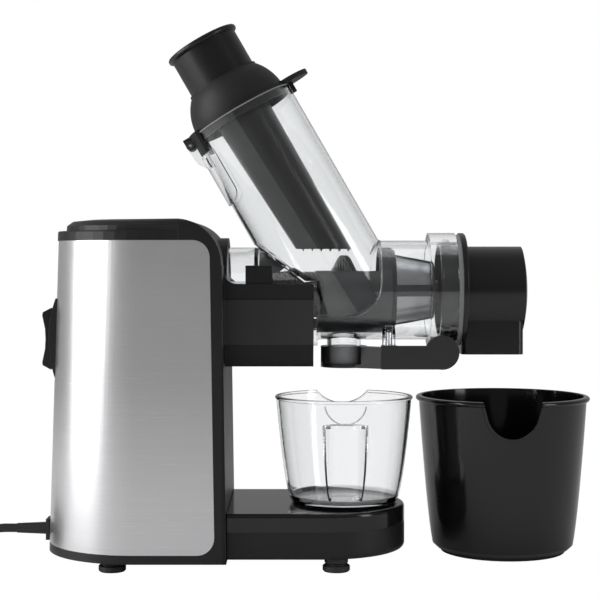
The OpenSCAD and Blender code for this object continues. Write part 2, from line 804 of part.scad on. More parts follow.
module gearbox_plan(inset) {
  w = gearbox_half_w - inset;
  for (z = [gearbox_z0 + gearbox_half_w - 8, gearbox_z1 - gearbox_half_w]) translate([0, z]) circle(w);
  translate([-w, gearbox_z0 + gearbox_half_w - 8])
    square([2 * w, gearbox_z1 - gearbox_z0 - 2 * gearbox_half_w + 8]);
}

module gear_plate(x, t) translate([x, 0, 0]) rotate([90, 0, 90]) linear_extrude(t) children();

module gearbox_back() color([0.45, 0.46, 0.48]) difference() {
  gear_plate(gear_back_x, gear_back_t) gearbox_plan(0);
  translate([gear_back_x - 1, 0, motor_z]) rotate([0, 90, 0]) cylinder(h = 9, r = rotor_shaft_r + 1);
  translate([gear_back_x - 1, 0, idler_z]) rotate([0, 90, 0]) cylinder(h = 9, r = idler_pin_r);
  disc_x(gear_back_x - 1, gear_back_x + 9, shaft_r + fit);
}

module gearbox_cover() color([0.4, 0.41, 0.43]) difference() {
  union() {
    gear_plate(gear_back_x + gear_back_t, gear_front_x - gear_back_x - gear_back_t) gearbox_plan(0);
    for (s = [-1, 1]) box(gear_front_x - 5, wall_x - tower_wall - gap, s * 33 - 3.5, s * 33 + 3.5,
      idler_z - 8, idler_z + 8);
  }
  gear_plate(gear_back_x + gear_back_t - 1, gear_front_x - gear_back_x - gear_back_t - gear_wall + 1)
    gearbox_plan(gear_wall);
  translate([gear_front_x - 5, 0, idler_z]) rotate([0, 90, 0]) cylinder(h = 9, r = idler_pin_r);
  disc_x(gear_front_x - 5, gear_front_x + 9, shaft_r + 1);
}

module idler_pin() color("silver") translate([gear_back_x, 0, idler_z]) rotate([0, 90, 0])
  cylinder(h = gear_front_x - gear_back_x, r = idler_pin_r);

module idler_gear() color([0.8, 0.75, 0.6]) difference() {
  union() {
    gear_x(pair_a_x, idler_z, pair_a_w, wheel_teeth, module_a, false, true);
    gear_x(pair_b_x, idler_z, pair_b_w, pinion_teeth, module_b, true, false);
    translate([pair_a_x, 0, idler_z]) rotate([0, 90, 0])
      cylinder(h = pair_b_x + pair_b_w - pair_a_x + 1.5, r = 7);
  }
  translate([gear_back_x, 0, idler_z]) rotate([0, 90, 0]) cylinder(h = 50, r = idler_pin_r + fit);
}

module output_gear() color([0.66, 0.67, 0.7]) {
  gear_x(pair_b_x, axis_z, pair_b_w, wheel_teeth, module_b, false, true);
  disc_x(gear_back_x, bearing_x1 + 6, shaft_r);
  on_axis(bearing_x1 + 5) cylinder(h = hex_x1 - bearing_x1 - 5, r = hex_r, $fn = 6);
}

module output_bearing() color([0.75, 0.76, 0.78])
  ring_x(bearing_x0, bearing_x1, bearing_r, shaft_r + fit);

module shaft_seal() color([0.15, 0.15, 0.15])
  ring_x(bearing_x1, seal_x1, bearing_r, shaft_r + 0.1);

module control_board() color([0.1, 0.35, 0.2]) {
  z = tower_z0 + 16.4;
  box(board_x0, board_x1, board_y0, board_y1, z, z + 1.6);
  box(board_x0 + 4, board_x0 + 22, board_y0 + 6, board_y0 + 18, z + 1, z + 14);
  box(board_x1 - 28, board_x1 - 8, board_y0 + 4, board_y0 + 20, z + 1, z + 18);
  translate([board_x1 - 16, board_y1 - 11, z + 1]) cylinder(h = 24, r = 7);
}

// ---- switch ----

module switch_bezel() color([0.12, 0.12, 0.13]) difference() {
  intersection() {
    box(switch_x - 5, switch_x + 8, -bezel_half_w, bezel_half_w, switch_z - bezel_h / 2,
      switch_z + bezel_h / 2);
    // lens-shaped in side view
    translate([switch_x + 92, far / 2, switch_z]) rotate([90, 0, 0]) cylinder(h = far, r = 96);
  }
  box(-far, switch_x + 9, -rocker_half_w - gap, rocker_half_w + gap, switch_z - rocker_h / 2 - 1.2,
    switch_z + rocker_h / 2 + 1.2);
  translate([rocker_x, 0, switch_z]) rotate([90, 0, 0])
    cylinder(h = 2 * (rocker_half_w + 3), r = rocker_pin_r + fit, center = true);
}

module rocker() color([0.08, 0.08, 0.09]) {
  half = [[-rocker_out + 2.6, 0], [-rocker_out + 2.2, 8], [-rocker_out, rocker_h / 2 - 6.5],
    [-rocker_out + 0.4, rocker_h / 2 - 4], [-3, rocker_h / 2 - 0.6], [6, rocker_h / 2 - 5]];
  translate([switch_x, 0, switch_z]) side_prism(rocker_half_w)
    polygon(concat(half, [for (i = [len(half) - 1 : -1 : 1]) [half[i][0], -half[i][1]]]));
  translate([rocker_x, 0, switch_z]) rotate([90, 0, 0])
    cylinder(h = 2 * (rocker_half_w + 2.5), r = rocker_pin_r, center = true);
}

// ---- cord ----

module cord_grommet() color([0.1, 0.1, 0.1]) {
  box(flange_x0, at_z(cord_z, tower_back0, tower_back1) - 0.3, -8.2, 8.2, cord_z - 8.2, cord_z + 8.2);
  box(flange_x0 + 1, -186, -6, 6, cord_z - 7.6, cord_z + 6);
  translate([flange_x0, 0, cord_z]) rotate([0, -90, 0])
    cylinder(h = relief_l, r1 = cord_d / 2 + 1.4, r2 = cord_d / 2 + 0.4);
}

function unit(v) = v / norm(v);

// A solid through rings of points that run counterclockwise about the way they are stacked
module looped(rings) {
  n = len(rings[0]);
  last = (len(rings) - 1) * n;
  polyhedron(points = [for (ring = rings) each ring],
    faces = concat([[for (k = [0 : n - 1]) k]], [[for (k = [n - 1 : -1 : 0]) last + k]],
      [for (i = [0 : len(rings) - 2], k = [0 : n - 1], half = [0, 1])
        let (k2 = (k + 1) % n, low = i * n, high = low + n)
        half == 0 ? [low + k, high + k, high + k2] : [low + k, high + k2, low + k2]]),
    convexity = 8);
}

// A tube swept along the route's points, which lie in one upright plane
module swept(route, r, sides) looped([for (i = [0 : len(route) - 1])
  let (d = unit(route[min(len(route) - 1, i + 1)] - route[max(0, i - 1)]), side = [0, 1, 0],
    up = cross(d, side))
  [for (k = [0 : sides - 1]) let (a = 360 * k / sides) route[i] + r * (cos(a) * side + sin(a) * up)]]);

module power_cord() color([0.05, 0.05, 0.05])
  swept([for (p = cord_route) if (p[0] <= flange_x0 - relief_l) p], cord_d / 2, cord_sides);

module cord_coil() color([0.05, 0.05, 0.05]) {
  translate([coil_x, turn_r, 0]) rotate_extrude() translate([coil_r_in, 0])
    square([coil_r_out - coil_r_in, coil_h]);
  translate([coil_x, 0, cord_d / 2]) rotate([0, 90, 0]) cylinder(h = lead_in_x - coil_x, r = cord_d / 2);
  translate([coil_x - turn_r, turn_r, coil_h - cord_d / 2]) rotate([-90, 0, 0])
    cylinder(h = tail_y, r = cord_d / 2);
}

module plug() color([0.08, 0.08, 0.08])
  translate([coil_x - turn_r, turn_r + tail_y, coil_h - cord_d / 2]) rotate([-90, 0, 0]) {
    cylinder(h = 20, r1 = cord_d / 2 + 0.6, r2 = 6.5);
    translate([-13, -plug_h / 2, 19]) cube([26, plug_h, 26]);
    for (s = [-1, 1]) translate([s * 9.5, 0, 44]) cylinder(h = 20, r = 2.4);
  }

// ---- neck button ----

module release_button() color([0.1, 0.1, 0.11])
  box(button_x0, button_x1, button_y0, button_y1, button_z0, button_z1);

// Wire coil round the Z axis
module wire_coil(r, wire_r, h, turns, steps, sides) looped([for (i = [0 : turns * steps])
  let (a = 360 * i / steps, z = wire_r + (h - 2 * wire_r) * i / (turns * steps))
  [for (k = [0 : sides - 1]) let (b = 360 * k / sides, rr = r + wire_r * cos(b))
    [rr * cos(a), rr * sin(a), z - wire_r * sin(b)]]]);

module button_spring() color("silver")
  translate([(button_x0 + button_x1) / 2, (button_y0 + button_y1) / 2, spring_z0])
    wire_coil(spring_r, 0.5, button_z0 - spring_z0, 5, 14, 6);

// ---- bowl ----

// Side view of the chute and hopper, shrunk by inset
module hopper_side(inset) offset(delta = -inset) difference() {
  slope = (floor_z0 - floor_z1) / (floor_x1 - floor_x0);
  polygon([[-far, far * 2], [-far, floor_z0 + (floor_x0 + far) * slope], [floor_x1, floor_z1],
    [step_x, floor_z1], [step_x, hopper_z0], [hopper_x1, hopper_z0], [hopper_x1, hopper_z1],
    [far, hopper_z1], [far, far * 2]]);
  translate([hopper_x1 - hopper_corner_r, hopper_z0 + hopper_corner_r]) difference() {
    translate([0, -hopper_corner_r - 1]) square([hopper_corner_r + 1, hopper_corner_r + 1]);
    circle(hopper_corner_r);
  }
}

module chute_solid(r, inset, top) intersection() {
  in_chute() translate([0, 0, -90]) cylinder(h = 90 + top, r = r);
  side_prism(60) hopper_side(inset);
}

module hinge_ears() in_chute() for (s = [-1, 1]) translate([0, s * 10, 0]) rotate([90, 0, 0])
  translate([0, 0, -2]) linear_extrude(4) difference() {
    union() {
      translate([hinge_u, hinge_s]) circle(hinge_lug_r);
      polygon([[hinge_u - hinge_lug_r, hinge_s], [hinge_u - hinge_lug_r + 1, hinge_s - 14],
        [-chute_r + 1.2, hinge_s - 26], [-chute_r + 1.2, hinge_s + 3], [hinge_u, hinge_s + 3]]);
    }
    translate([hinge_u, hinge_s]) circle(lid_pin_r);
  }

// Thickened part of the chute's wall under the hinge, round at its lower end
module hinge_pad() in_chute() intersection() {
  translate([0, 0, strap_s - pad_h]) tube(pad_h - gap, chute_r + pad_t, chute_r - 0.5);
  rotate([90, 0, 0]) translate([0, 0, -far / 2]) linear_extrude(far) {
    translate([-chute_r + pad_w - pad_corner_r, strap_s - pad_h + pad_corner_r]) circle(pad_corner_r);
    translate([-far, strap_s - pad_h + pad_corner_r]) square([far - chute_r + pad_w, far]);
    translate([-far, strap_s - pad_h]) square([far - chute_r + pad_w - pad_corner_r, far]);
  }
}

module bowl() color([0.8, 0.83, 0.85, 0.45]) difference() {
  union() {
    disc_x(bowl_x0, step_x + 2, rear_r);
    disc_x(step_x, barrel_x1 + 1, barrel_r);
    intersection() {
      disc_x(step_x, step_x + foot_flange_t, foot_flange_r);
      box(0, far, -far, far, 0, hopper_z0);
    }
    disc_x(barrel_x1, flange_x1, flange_r);
    chute_solid(chute_r, 0, chute_l);
    hinge_ears();
    hinge_pad();
    translate([spout_x, 0, spout_z]) cylinder(h = 18, r = spout_r);
    translate([lever_x, -lever_y, lever_z1 + gap]) cylinder(h = 16, r = lever_hub_r - 1);
  }
  // inside of the hopper and chute
  chute_solid(chute_r - chute_wall, chute_wall, chute_l + 10);
  disc_x(bowl_x0 - 1, bulkhead_x, rear_r - bowl_wall);
  disc_x(bulkhead_x + bulkhead_t, step_x + 2, rear_r - bowl_wall);
  disc_x(step_x + 2, barrel_x1 + 1, barrel_r - bowl_wall);
  disc_x(barrel_x1, far, sleeve_r + gap);
  disc_x(bulkhead_x - 1, bulkhead_x + 9, journal_r + 2);
  // bayonet: round groove and two ways in
  disc_x(lug_x0 - gap, lug_x0 + lug_l + gap, sleeve_r + lug_h + 2 * gap);
  for (s = [0, 180]) on_axis(lug_x0) rotate(s + lug_turn + 90)
    intersection() {
      cylinder(h = far, r = sleeve_r + lug_h + gap);
      translate([sleeve_r - 4, -6, 0]) cube([10, 12, far]);
    }
  // spout bore and the hole above it
  translate([spout_x, 0, spout_z - 1]) cylinder(h = 20, r = spout_r - 2.5);
  translate([lever_x, -lever_y, lever_z0]) cylinder(h = lever_z1 - lever_z0 + 12, r = lever_pin_r);
}

module bowl_seal() color([0.25, 0.25, 0.27]) {
  ring_x(bulkhead_x, bulkhead_x + bulkhead_t, journal_r + 2, journal_r + 0.1);
  ring_x(bulkhead_x - 2.5, bulkhead_x, journal_r + 6, journal_r + 0.1);
}

// Outer radius of the cone at x
function cone_r(x) = cone_r0 + (nose_r - cone_r0) * (x - cone_x0 + 1) / (screen_x1 - cone_x0 + 1);

// Slice of the cone's wall between two depths under its outer face
module cone_shell(x0, x1, depth0, depth1) difference() {
  on_axis(x0) cylinder(h = x1 - x0, r1 = cone_r(x0) - depth0, r2 = cone_r(x1) - depth0);
  on_axis(x0 - 1) cylinder(h = x1 - x0 + 2, r1 = cone_r(x0 - 1) - depth1, r2 = cone_r(x1 + 1) - depth1);
}

module cone_ribs() on_axis(0) for (a = [0 : 90 : 270]) rotate(a) translate([0, -rib_w / 2, -1])
  cube([far, rib_w, far]);

module screen_frame() color([0.16, 0.16, 0.18]) difference() {
  union() {
    ring_x(screen_x0, step_x + 1, rear_screen_r, rear_screen_r - screen_wall + 1);
    ring_x(step_x + 2.5, cone_x0 - 3, screen_r, screen_r - screen_wall);
    // slanting front of that ring, down to the cone
    on_axis(cone_x0 - 3) rotate_extrude() polygon([[cone_r0 - 3, 0.5], [cone_r0 - 3, 3],
      [screen_r - 2.6, 3], [screen_r, 0], [screen_r - screen_wall, 0], [screen_r - screen_wall, 0.5]]);
    ring_x(step_x - 2, step_x + 4.5, rear_screen_r, rear_screen_r - screen_wall + 1);
    ring_x(step_x + 2.5, step_x + 4.5, screen_r, rear_screen_r - screen_wall + 1);
    // cone with three ribs and a bush ring at its nose
    difference() {
      cone_shell(cone_x0 - 1, screen_x1, 0, 3);
      difference() {
        disc_x(window_x0, window_x1, far);
        cone_ribs();
      }
    }
    on_axis(screen_x1 - 3) tube(3, nose_r, core_r - 4.6);
  }
  // open top under the chute, as long as the hopper
  side_prism(far / 2) intersection() {
    hopper_side(-gap);
    translate([floor_x0, screen_open_z]) square([screen_ring_x - floor_x0, far]);
  }
  // round cut-outs in both sides behind the trough
  translate([cut_out_x, 0, axis_z]) rotate([90, 0, 0]) cylinder(h = far, r = cut_out_r, center = true);
  // slots that drain to the spout
  for (x = [18 : 6 : 52]) box(x, x + 1.2, -9, 9, 0, axis_z - screen_r + 6);
}

module screen_mesh() color([0.75, 0.76, 0.78]) difference() {
  cone_shell(window_x0, window_x1, 1.2, 1.7);
  cone_ribs();
}

module auger_bush() color([0.85, 0.83, 0.78])
  ring_x(screen_x1 - 3, screen_x1, core_r - 4.6, core_r - 7 + fit);

module lever_pin() color("silver") translate([lever_x, -lever_y, lever_z0 + 2])
  cylinder(h = lever_z1 - lever_z0 + 8, r = lever_pin_r);

// Radius of the flight at x: it starts in the hopper, runs straight and narrows inside the cone
function flight_at(x) = lookup(x, [[chute_x - flight_pitch - 1, core_r + 0.4],
  [chute_x - 0.75 * flight_pitch, 24], [chute_x - flight_pitch / 2, flight_r],
  [cone_x0 - 12, flight_r], [cone_x0 - 2, cone_r0 - 4], [screw_x1, nose_r - 4.4]]);

// How far the surface rises from core to crest, at angle a from the crest
function flight_rise(a) = abs(a) > 80 ? 0 : abs(a) < 14 ? 1 : pow((80 - abs(a)) / 66, 1.5);

module auger() color([0.2, 0.2, 0.22]) difference() {
  union() {
    on_axis(0) looped([for (i = [0 : 66])
      let (x = screw_x0 + (screw_x1 - screw_x0) * i / 66, turn = 180 + 360 * (x - chute_x) / flight_pitch)
      [for (a = [-80, -52, -26, -14, 0, 14, 26, 52, 80, 108, 136, 164, 192, 220, 248])
        let (r = core_r + (flight_at(x) - core_r) * flight_rise(a))
        [r * cos(turn + a), r * sin(turn + a), x]]]);
    disc_x(bulkhead_x - 4, screw_x0 + 1, journal_r);
    disc_x(screw_x1 - 1, screen_x1 + 4, core_r - 7);
  }
  on_axis(bulkhead_x - 5) cylinder(h = hex_x1 - bulkhead_x + 7, r = hex_r + 0.4, $fn = 6);
}

// ---- lid and pusher ----

module lid() color([0.12, 0.12, 0.13]) in_chute() {
  difference() {
    union() {
      intersection() {
        translate([0, 0, dome_s]) sphere(dome_r);
        translate([0, 0, lid_s]) cylinder(h = dome_h, r = far);
      }
      // lip round the opening
      translate([0, 0, lid_s + dome_h - 2]) cylinder(h = 3, r = collar_r + lip_w);
      translate([0, 0, lid_s]) cylinder(h = 2, r = chute_r - 1);
      translate([0, 0, lid_s - 6.5]) cylinder(h = 7, r = chute_r - chute_wall - gap);
      // finger tab and its catch
      translate([chute_r + 2.2, 0, lid_s]) cylinder(h = 3.8, r = 16);
      translate([chute_r + gap, -4, lid_s - 8]) cube([3.2, 8, 9]);
      // hinge lug
      translate([hinge_u, 0, hinge_s]) rotate([90, 0, 0])
        cylinder(h = 15.4, r = hinge_lug_r, center = true);
      translate([hinge_u - hinge_lug_r, -7.7, hinge_s])
        cube([2 * hinge_lug_r - 0.6, 15.4, lid_s - hinge_s + 2]);
      translate([hinge_u - hinge_lug_r, -7.7, lid_s]) cube([14, 15.4, 2]);
      // straps that reach down each side of the hinge
      translate([0, 0, strap_s]) intersection() {
        tube(lid_s - strap_s + 1, chute_r + 2.8, chute_r + gap);
        for (s = [-1, 1]) translate([-chute_r - 10, s * 18.5 - 6, 0]) cube([17.5, 12, far]);
      }
      translate([0, 0, lid_s]) intersection() {
        cylinder(h = 2, r = chute_r + 2.8);
        translate([-chute_r - 10, -24.5, 0]) cube([17.5, 49, 2]);
      }
    }
    translate([0, 0, dome_s]) sphere(dome_r - lid_t);
    translate([0, 0, lid_s - 8]) cylinder(h = 10.1, r = chute_r - chute_wall - gap - 2.2);
    cylinder(h = far, r = collar_r + 0.5);
    translate([hinge_u, 0, hinge_s]) rotate([90, 0, 0])
      cylinder(h = 40, r = lid_pin_r + fit, center = true);
  }
}

module lid_gasket() color([0.6, 0.6, 0.6]) in_chute() translate([0, 0, chute_l])
  tube(gasket_t, chute_r, chute_r - chute_wall + 0.1);

module lid_pin() color("silver") in_chute() translate([hinge_u, 0, hinge_s]) rotate([90, 0, 0])
  cylinder(h = 25, r = lid_pin_r, center = true);

module pusher() color([0.14, 0.14, 0.15]) difference() {
  in_chute() {
    translate([0, 0, flange_s]) rotate_extrude() polygon(concat([[0, 0], [collar_r, 0]],
      [for (a = [-90 : 30 : 90]) [pusher_flange_r - 1.8 + 1.8 * cos(a), 2.2 + 2.2 * sin(a)]],
      [[0, 4.4]]));
    translate([0, 0, lid_s + 14]) cylinder(h = flange_s - lid_s - 13, r = collar_r);
    translate([0, 0, lid_s + 8]) cylinder(h = 6.01, r1 = stem_r1 + 1, r2 = collar_r);
    translate([0, 0, lid_s + 9]) rotate([0, -stem_lean, 0]) translate([0, 0, -lid_s - 4])
      cylinder(h = lid_s + 4, r1 = stem_r0, r2 = stem_r1);
  }
  // level lower end with pointed teeth
  translate([0, 0, stem_z - tooth_h]) side_prism(60) {
    mid = chute_x - (stem_z - axis_z) * tan(chute_lean) + teeth_shift;
    start = mid - stem_teeth * tooth_pitch / 2;
    polygon(concat([[mid - 60, -60], [mid - 60, tooth_h]],
      [for (i = [0 : stem_teeth - 1], p = [[0.36, tooth_h], [0.5, 0.2], [0.64, tooth_h]])
        [start + (i + p[0]) * tooth_pitch, p[1]]],
      [[mid + 60, tooth_h], [mid + 60, -60]]));
  }
  // hollow from the top
  in_chute() translate([0, 0, lid_s + 18]) cylinder(h = far, r = collar_r - 2.5);
}

// ---- outlet cap ----

// Upright block of the outlet, set in by inset, from z up to the auger's axis, corners rounded by r
module outlet_tube(inset, z, r) {
  x0 = outlet_x0 + inset;
  x1 = outlet_x1 - inset;
  w = outlet_half_w - inset;
  box(x0 + r, x1 - r, -w, w, z, axis_z);
  box(x0, x1, -w + r, w - r, z, axis_z);
  for (x = [x0 + r, x1 - r], s = [-1, 1]) translate([x, s * (w - r), z]) cylinder(h = axis_z - z, r = r);
}

module end_cap() color([0.09, 0.09, 0.1]) difference() {
  union() {
    ring_x(sleeve_x0, cap_x0 + 1, sleeve_r, sleeve_r - cap_wall);
    disc_x(cap_x0, cap_x0 + cap_disc_t - 1, flange_r);
    on_axis(cap_x0 + cap_disc_t - 1.01) cylinder(h = 1.01, r1 = flange_r, r2 = flange_r - 1);
    disc_x(cap_x0, cap_x1, cap_r);
    // gently domed end
    intersection() {
      translate([cap_x1 + 4.4 - 140, 0, axis_z]) sphere(140, $fn = 180);
      disc_x(cap_x1 - 1, cap_x1 + 9, cap_r);
    }
    for (s = [0, 180]) on_axis(lug_x0) rotate(s + 90) intersection() {
      cylinder(h = lug_l, r = sleeve_r + lug_h);
      translate([sleeve_r - 2, -5, 0]) cube([8, 10, lug_l]);
    }
    // pulp outlet
    outlet_tube(0, outlet_z, outlet_corner_r);
  }
  disc_x(sleeve_x0 - 1, cap_x0 + 1.2, sleeve_r - cap_wall);
  disc_x(cap_x0, cap_x1 - cap_wall, cap_r - cap_wall);
  outlet_tube(cap_wall, outlet_z - 1, outlet_corner_r - cap_wall + 1);
}

module cap_gasket() color([0.72, 0.73, 0.74])
  ring_x(flange_x1 + gap, cap_x0, flange_r - 1.4, sleeve_r);

// ---- drip lever ----

module drip_lever() color([0.09, 0.09, 0.1]) difference() {
  union() {
    translate([lever_x, -lever_y, lever_z0]) cylinder(h = lever_z1 - lever_z0, r = lever_hub_r);
    // tray, round at its free end
    translate([spout_x, 0, lever_z0]) cylinder(h = stopper_z1 - lever_z0, r = tray_half_w);
    translate([0, 0, lever_z0]) hull() {
      translate([spout_x + 8, -7, 0]) cylinder(h = stopper_z1 - lever_z0, r = 8, $fn = 32);
      translate([lever_x - 2, -lever_y, 0])
        cylinder(h = stopper_z1 - lever_z0, r = lever_hub_r - 1.4, $fn = 32);
    }
    // plate that carries the paddle
    box(lever_x, paddle_x, plate_y1 - plate_t, plate_y1, lever_z0, lever_z1);
    box(lever_x - lever_hub_r, lever_x + lever_hub_r, plate_y1 - plate_t, -lever_y, lever_z0, lever_z1);
    translate([paddle_x, plate_y1, paddle_z]) rotate([90, 0, 0]) cylinder(h = plate_t, r = paddle_r);
  }
  translate([spout_x, 0, lever_z0 + tray_floor_t]) cylinder(h = far, r = stopper_r);
  box(spout_x - stopper_r, spout_x + stopper_r, -far, -4, lever_z0 + tray_floor_t, lever_z1);
  translate([lever_x, -lever_y, lever_z0 - 1]) cylinder(h = far, r = lever_pin_r + fit);
}

module drip_stopper() color([0.7, 0.71, 0.72]) translate([spout_x, 0, lever_z0 + tray_floor_t])
  cylinder(h = stopper_z1 - lever_z0 - tray_floor_t, r = stopper_r);

// ---- cup and bin ----

// Radius of the cup's side at a share f of its height
function cup_side(f) = cup_base_r + (cup_r - 0.8 - cup_base_r) * pow(f, 0.555);

module cup_profile(inset, low) polygon(concat([[0, low], [cup_base_r - 1 - inset, low]],
  [for (i = [0 : 16]) let (f = 0.02 + 0.98 * i / 16) [cup_side(f) - inset, max(low + 0.6, cup_h * f)]],
  inset > 0 ? [[cup_r - 0.8 - inset, cup_h + 5], [0, cup_h + 5]] : [[0, cup_h]]));

module juice_cup() color([0.85, 0.87, 0.9, 0.4]) translate([cup_x, 0, platform_z1]) difference() {
  grip_y = -cup_r + 2;
  union() {
    rotate_extrude() difference() {
      cup_profile(0, 0);
      cup_profile(cup_wall, cup_floor_t);
    }
    translate([0, 0, cup_h - cup_bead_r]) rotate_extrude() translate([cup_r - cup_bead_r, 0])
      circle(cup_bead_r, $fn = 32);
    // inner wall of the grip recess
    intersection() {
      translate([0, grip_y, grip_h0 - cup_wall])
        cylinder(h = grip_h1 - grip_h0 + 2 * cup_wall, r = grip_r + cup_wall);
      rotate_extrude() cup_profile(0.5, 0);
    }
  }
  // grip recess, open to the front
  translate([0, grip_y, grip_h0]) cylinder(h = grip_h1 - grip_h0, r = grip_r);
  // shallow scoop with a round lower end in the wall above it
  intersection() {
    translate([0, grip_y, cup_h - 2]) rotate([90, 0, 0]) cylinder(h = far, r = grip_r, center = true);
    rotate_extrude() difference() {
      translate([cup_base_r, grip_h1]) square([far, scoop_z1 - grip_h1]);
      cup_profile(cup_wall / 2, 0);
    }
    box(-far, far, -far, 0, 0, far);
  }
  // pouring notch in the far side of the rim
  translate([0, cup_r, cup_h - pour_h + pour_r]) rotate([90, 0, 0])
    cylinder(h = 40, r = pour_r, center = true);
}

// Radius of the container's side at a share f of its height
function bin_side(f) = bin_base_r + (bin_r - 2.3 - bin_base_r) * pow(f, 0.65);

// Section of the container, shrunk by inset, from low up to its rim
module bin_profile(inset, low) polygon(concat([[0, low], [bin_foot_r - inset, low]],
  inset > 0 ? [] : [[bin_foot_r - inset, bin_foot_h], [bin_base_r - 1.7 - inset, bin_foot_h + 1]],
  [for (i = [0 : 16]) let (f = 0.05 + 0.95 * i / 16) [bin_side(f) - inset, max(low + 0.6, bin_h * f)]],
  inset > 0 ? [[bin_r - 2.3 - inset, bin_h + 5], [0, bin_h + 5]] : [[0, bin_h]]));

// The notch in the near side of the rim, grown by grow, as a prism
module bin_notch(grow) rotate([90, 0, 0]) linear_extrude(far) {
  z = bin_h - bin_notch_h + bin_notch_r;
  w = bin_notch_w / 2 + grow;
  polygon(concat([[-w, bin_h + 3]], arc(0, z, bin_notch_r + grow, 360 - bin_bend_a, 180 + bin_bend_a, 24),
    [[w, bin_h + 3]]));
}

module pulp_container() color([0.04, 0.04, 0.05]) translate([bin_x, bin_y, 0]) difference() {
  union() {
    rotate_extrude() difference() {
      bin_profile(0, 0);
      bin_profile(bin_wall, 5);
    }
    translate([0, 0, bin_h - bin_bead_r]) rotate_extrude() translate([bin_r - bin_bead_r, 0])
      circle(bin_bead_r, $fn = 32);
    // raised trim along the notch
    intersection() {
      bin_notch(trim_w);
      rotate_extrude() difference() {
        bin_profile(-trim_t, 0);
        bin_profile(1, 5);
      }
      box(-far, far, -far, 0, bin_h - bin_notch_h - 2 * trim_w, bin_h);
    }
  }
  // notch in the near side of the rim, under the outlet
  bin_notch(0);
}

on_origin() front_frame();
on_origin() steel_wrap();
on_origin() top_cap();
on_origin() base_pan();
on_origin() platform_cover();
on_origin() feet();
on_origin() base_screws();
on_origin() motor_can();
on_origin() motor_stator();
on_origin() motor_cradle();
on_origin() motor_rotor();
on_origin() gearbox_back();
on_origin() gearbox_cover();
on_origin() idler_pin();
on_origin() idler_gear();
on_origin() output_gear();
on_origin() output_bearing();
on_origin() shaft_seal();
on_origin() control_board();
on_origin() switch_bezel();
on_origin() rocker();
on_origin() cord_grommet();
on_origin() power_cord();
on_origin() cord_coil();
on_origin() plug();
on_origin() release_button();
on_origin() button_spring();
on_origin() bowl();
on_origin() bowl_seal();
on_origin() screen_frame();
on_origin() screen_mesh();
on_origin() auger_bush();
on_origin() lever_pin();
on_origin() auger();
on_origin() lid();
on_origin() lid_gasket();
on_origin() lid_pin();
on_origin() pusher();
on_origin() end_cap();
on_origin() cap_gasket();
on_origin() drip_lever();
on_origin() drip_stopper();
on_origin() juice_cup();
on_origin() pulp_container();
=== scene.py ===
"""Cold press juicer: finishes, cord, spring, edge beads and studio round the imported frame.

Places are in metres in the part's own frame: +X from the motor tower to the outlet cap, +Y to the
far side, +Z up, with the floor at Z = 0. The sizes of the sub-assemblies and the grain, depth and
edge sizes of the finishes are in millimetres.
"""

from __future__ import annotations

import json
import logging
import math
from dataclasses import dataclass
from enum import Enum
from typing import Any, Sequence, Union

import bmesh
import bpy
from mathutils import Matrix, Vector

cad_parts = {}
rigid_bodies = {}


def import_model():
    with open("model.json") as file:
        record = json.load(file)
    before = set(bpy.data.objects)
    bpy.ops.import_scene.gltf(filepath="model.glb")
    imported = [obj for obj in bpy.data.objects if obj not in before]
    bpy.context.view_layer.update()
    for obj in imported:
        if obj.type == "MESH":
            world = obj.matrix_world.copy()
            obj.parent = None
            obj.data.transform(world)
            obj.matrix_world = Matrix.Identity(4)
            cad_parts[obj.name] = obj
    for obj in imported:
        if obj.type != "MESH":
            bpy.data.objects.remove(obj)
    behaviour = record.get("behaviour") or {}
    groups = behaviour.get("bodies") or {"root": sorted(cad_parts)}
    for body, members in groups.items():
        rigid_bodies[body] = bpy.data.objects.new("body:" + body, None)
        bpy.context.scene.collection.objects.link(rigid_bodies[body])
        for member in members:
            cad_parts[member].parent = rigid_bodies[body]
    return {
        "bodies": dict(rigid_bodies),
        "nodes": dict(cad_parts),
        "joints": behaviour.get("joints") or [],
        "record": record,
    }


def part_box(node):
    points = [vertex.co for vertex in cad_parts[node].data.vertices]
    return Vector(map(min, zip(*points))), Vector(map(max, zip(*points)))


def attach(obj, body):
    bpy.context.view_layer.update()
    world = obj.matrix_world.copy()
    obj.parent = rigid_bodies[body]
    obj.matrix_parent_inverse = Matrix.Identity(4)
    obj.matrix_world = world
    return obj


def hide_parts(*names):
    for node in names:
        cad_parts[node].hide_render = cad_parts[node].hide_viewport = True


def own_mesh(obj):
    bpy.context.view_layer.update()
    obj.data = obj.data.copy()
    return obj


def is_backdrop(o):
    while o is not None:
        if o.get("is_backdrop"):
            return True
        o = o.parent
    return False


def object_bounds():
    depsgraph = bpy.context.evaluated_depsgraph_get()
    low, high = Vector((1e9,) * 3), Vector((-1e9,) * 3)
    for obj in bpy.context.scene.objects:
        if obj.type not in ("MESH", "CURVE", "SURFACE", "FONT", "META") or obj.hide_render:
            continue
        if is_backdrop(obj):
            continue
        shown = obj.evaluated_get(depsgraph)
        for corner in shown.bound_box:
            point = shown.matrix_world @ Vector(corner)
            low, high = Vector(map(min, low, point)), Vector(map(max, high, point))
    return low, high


LOG = logging.getLogger("juicer")
MM = 0.001
TURN = 2 * math.pi
WHITE = (1.0, 1.0, 1.0)
Point = tuple[float, float, float]
Colour = tuple[float, float, float]
Span = tuple[float, float]


# ---------------------------------------------------------------- shader graphs


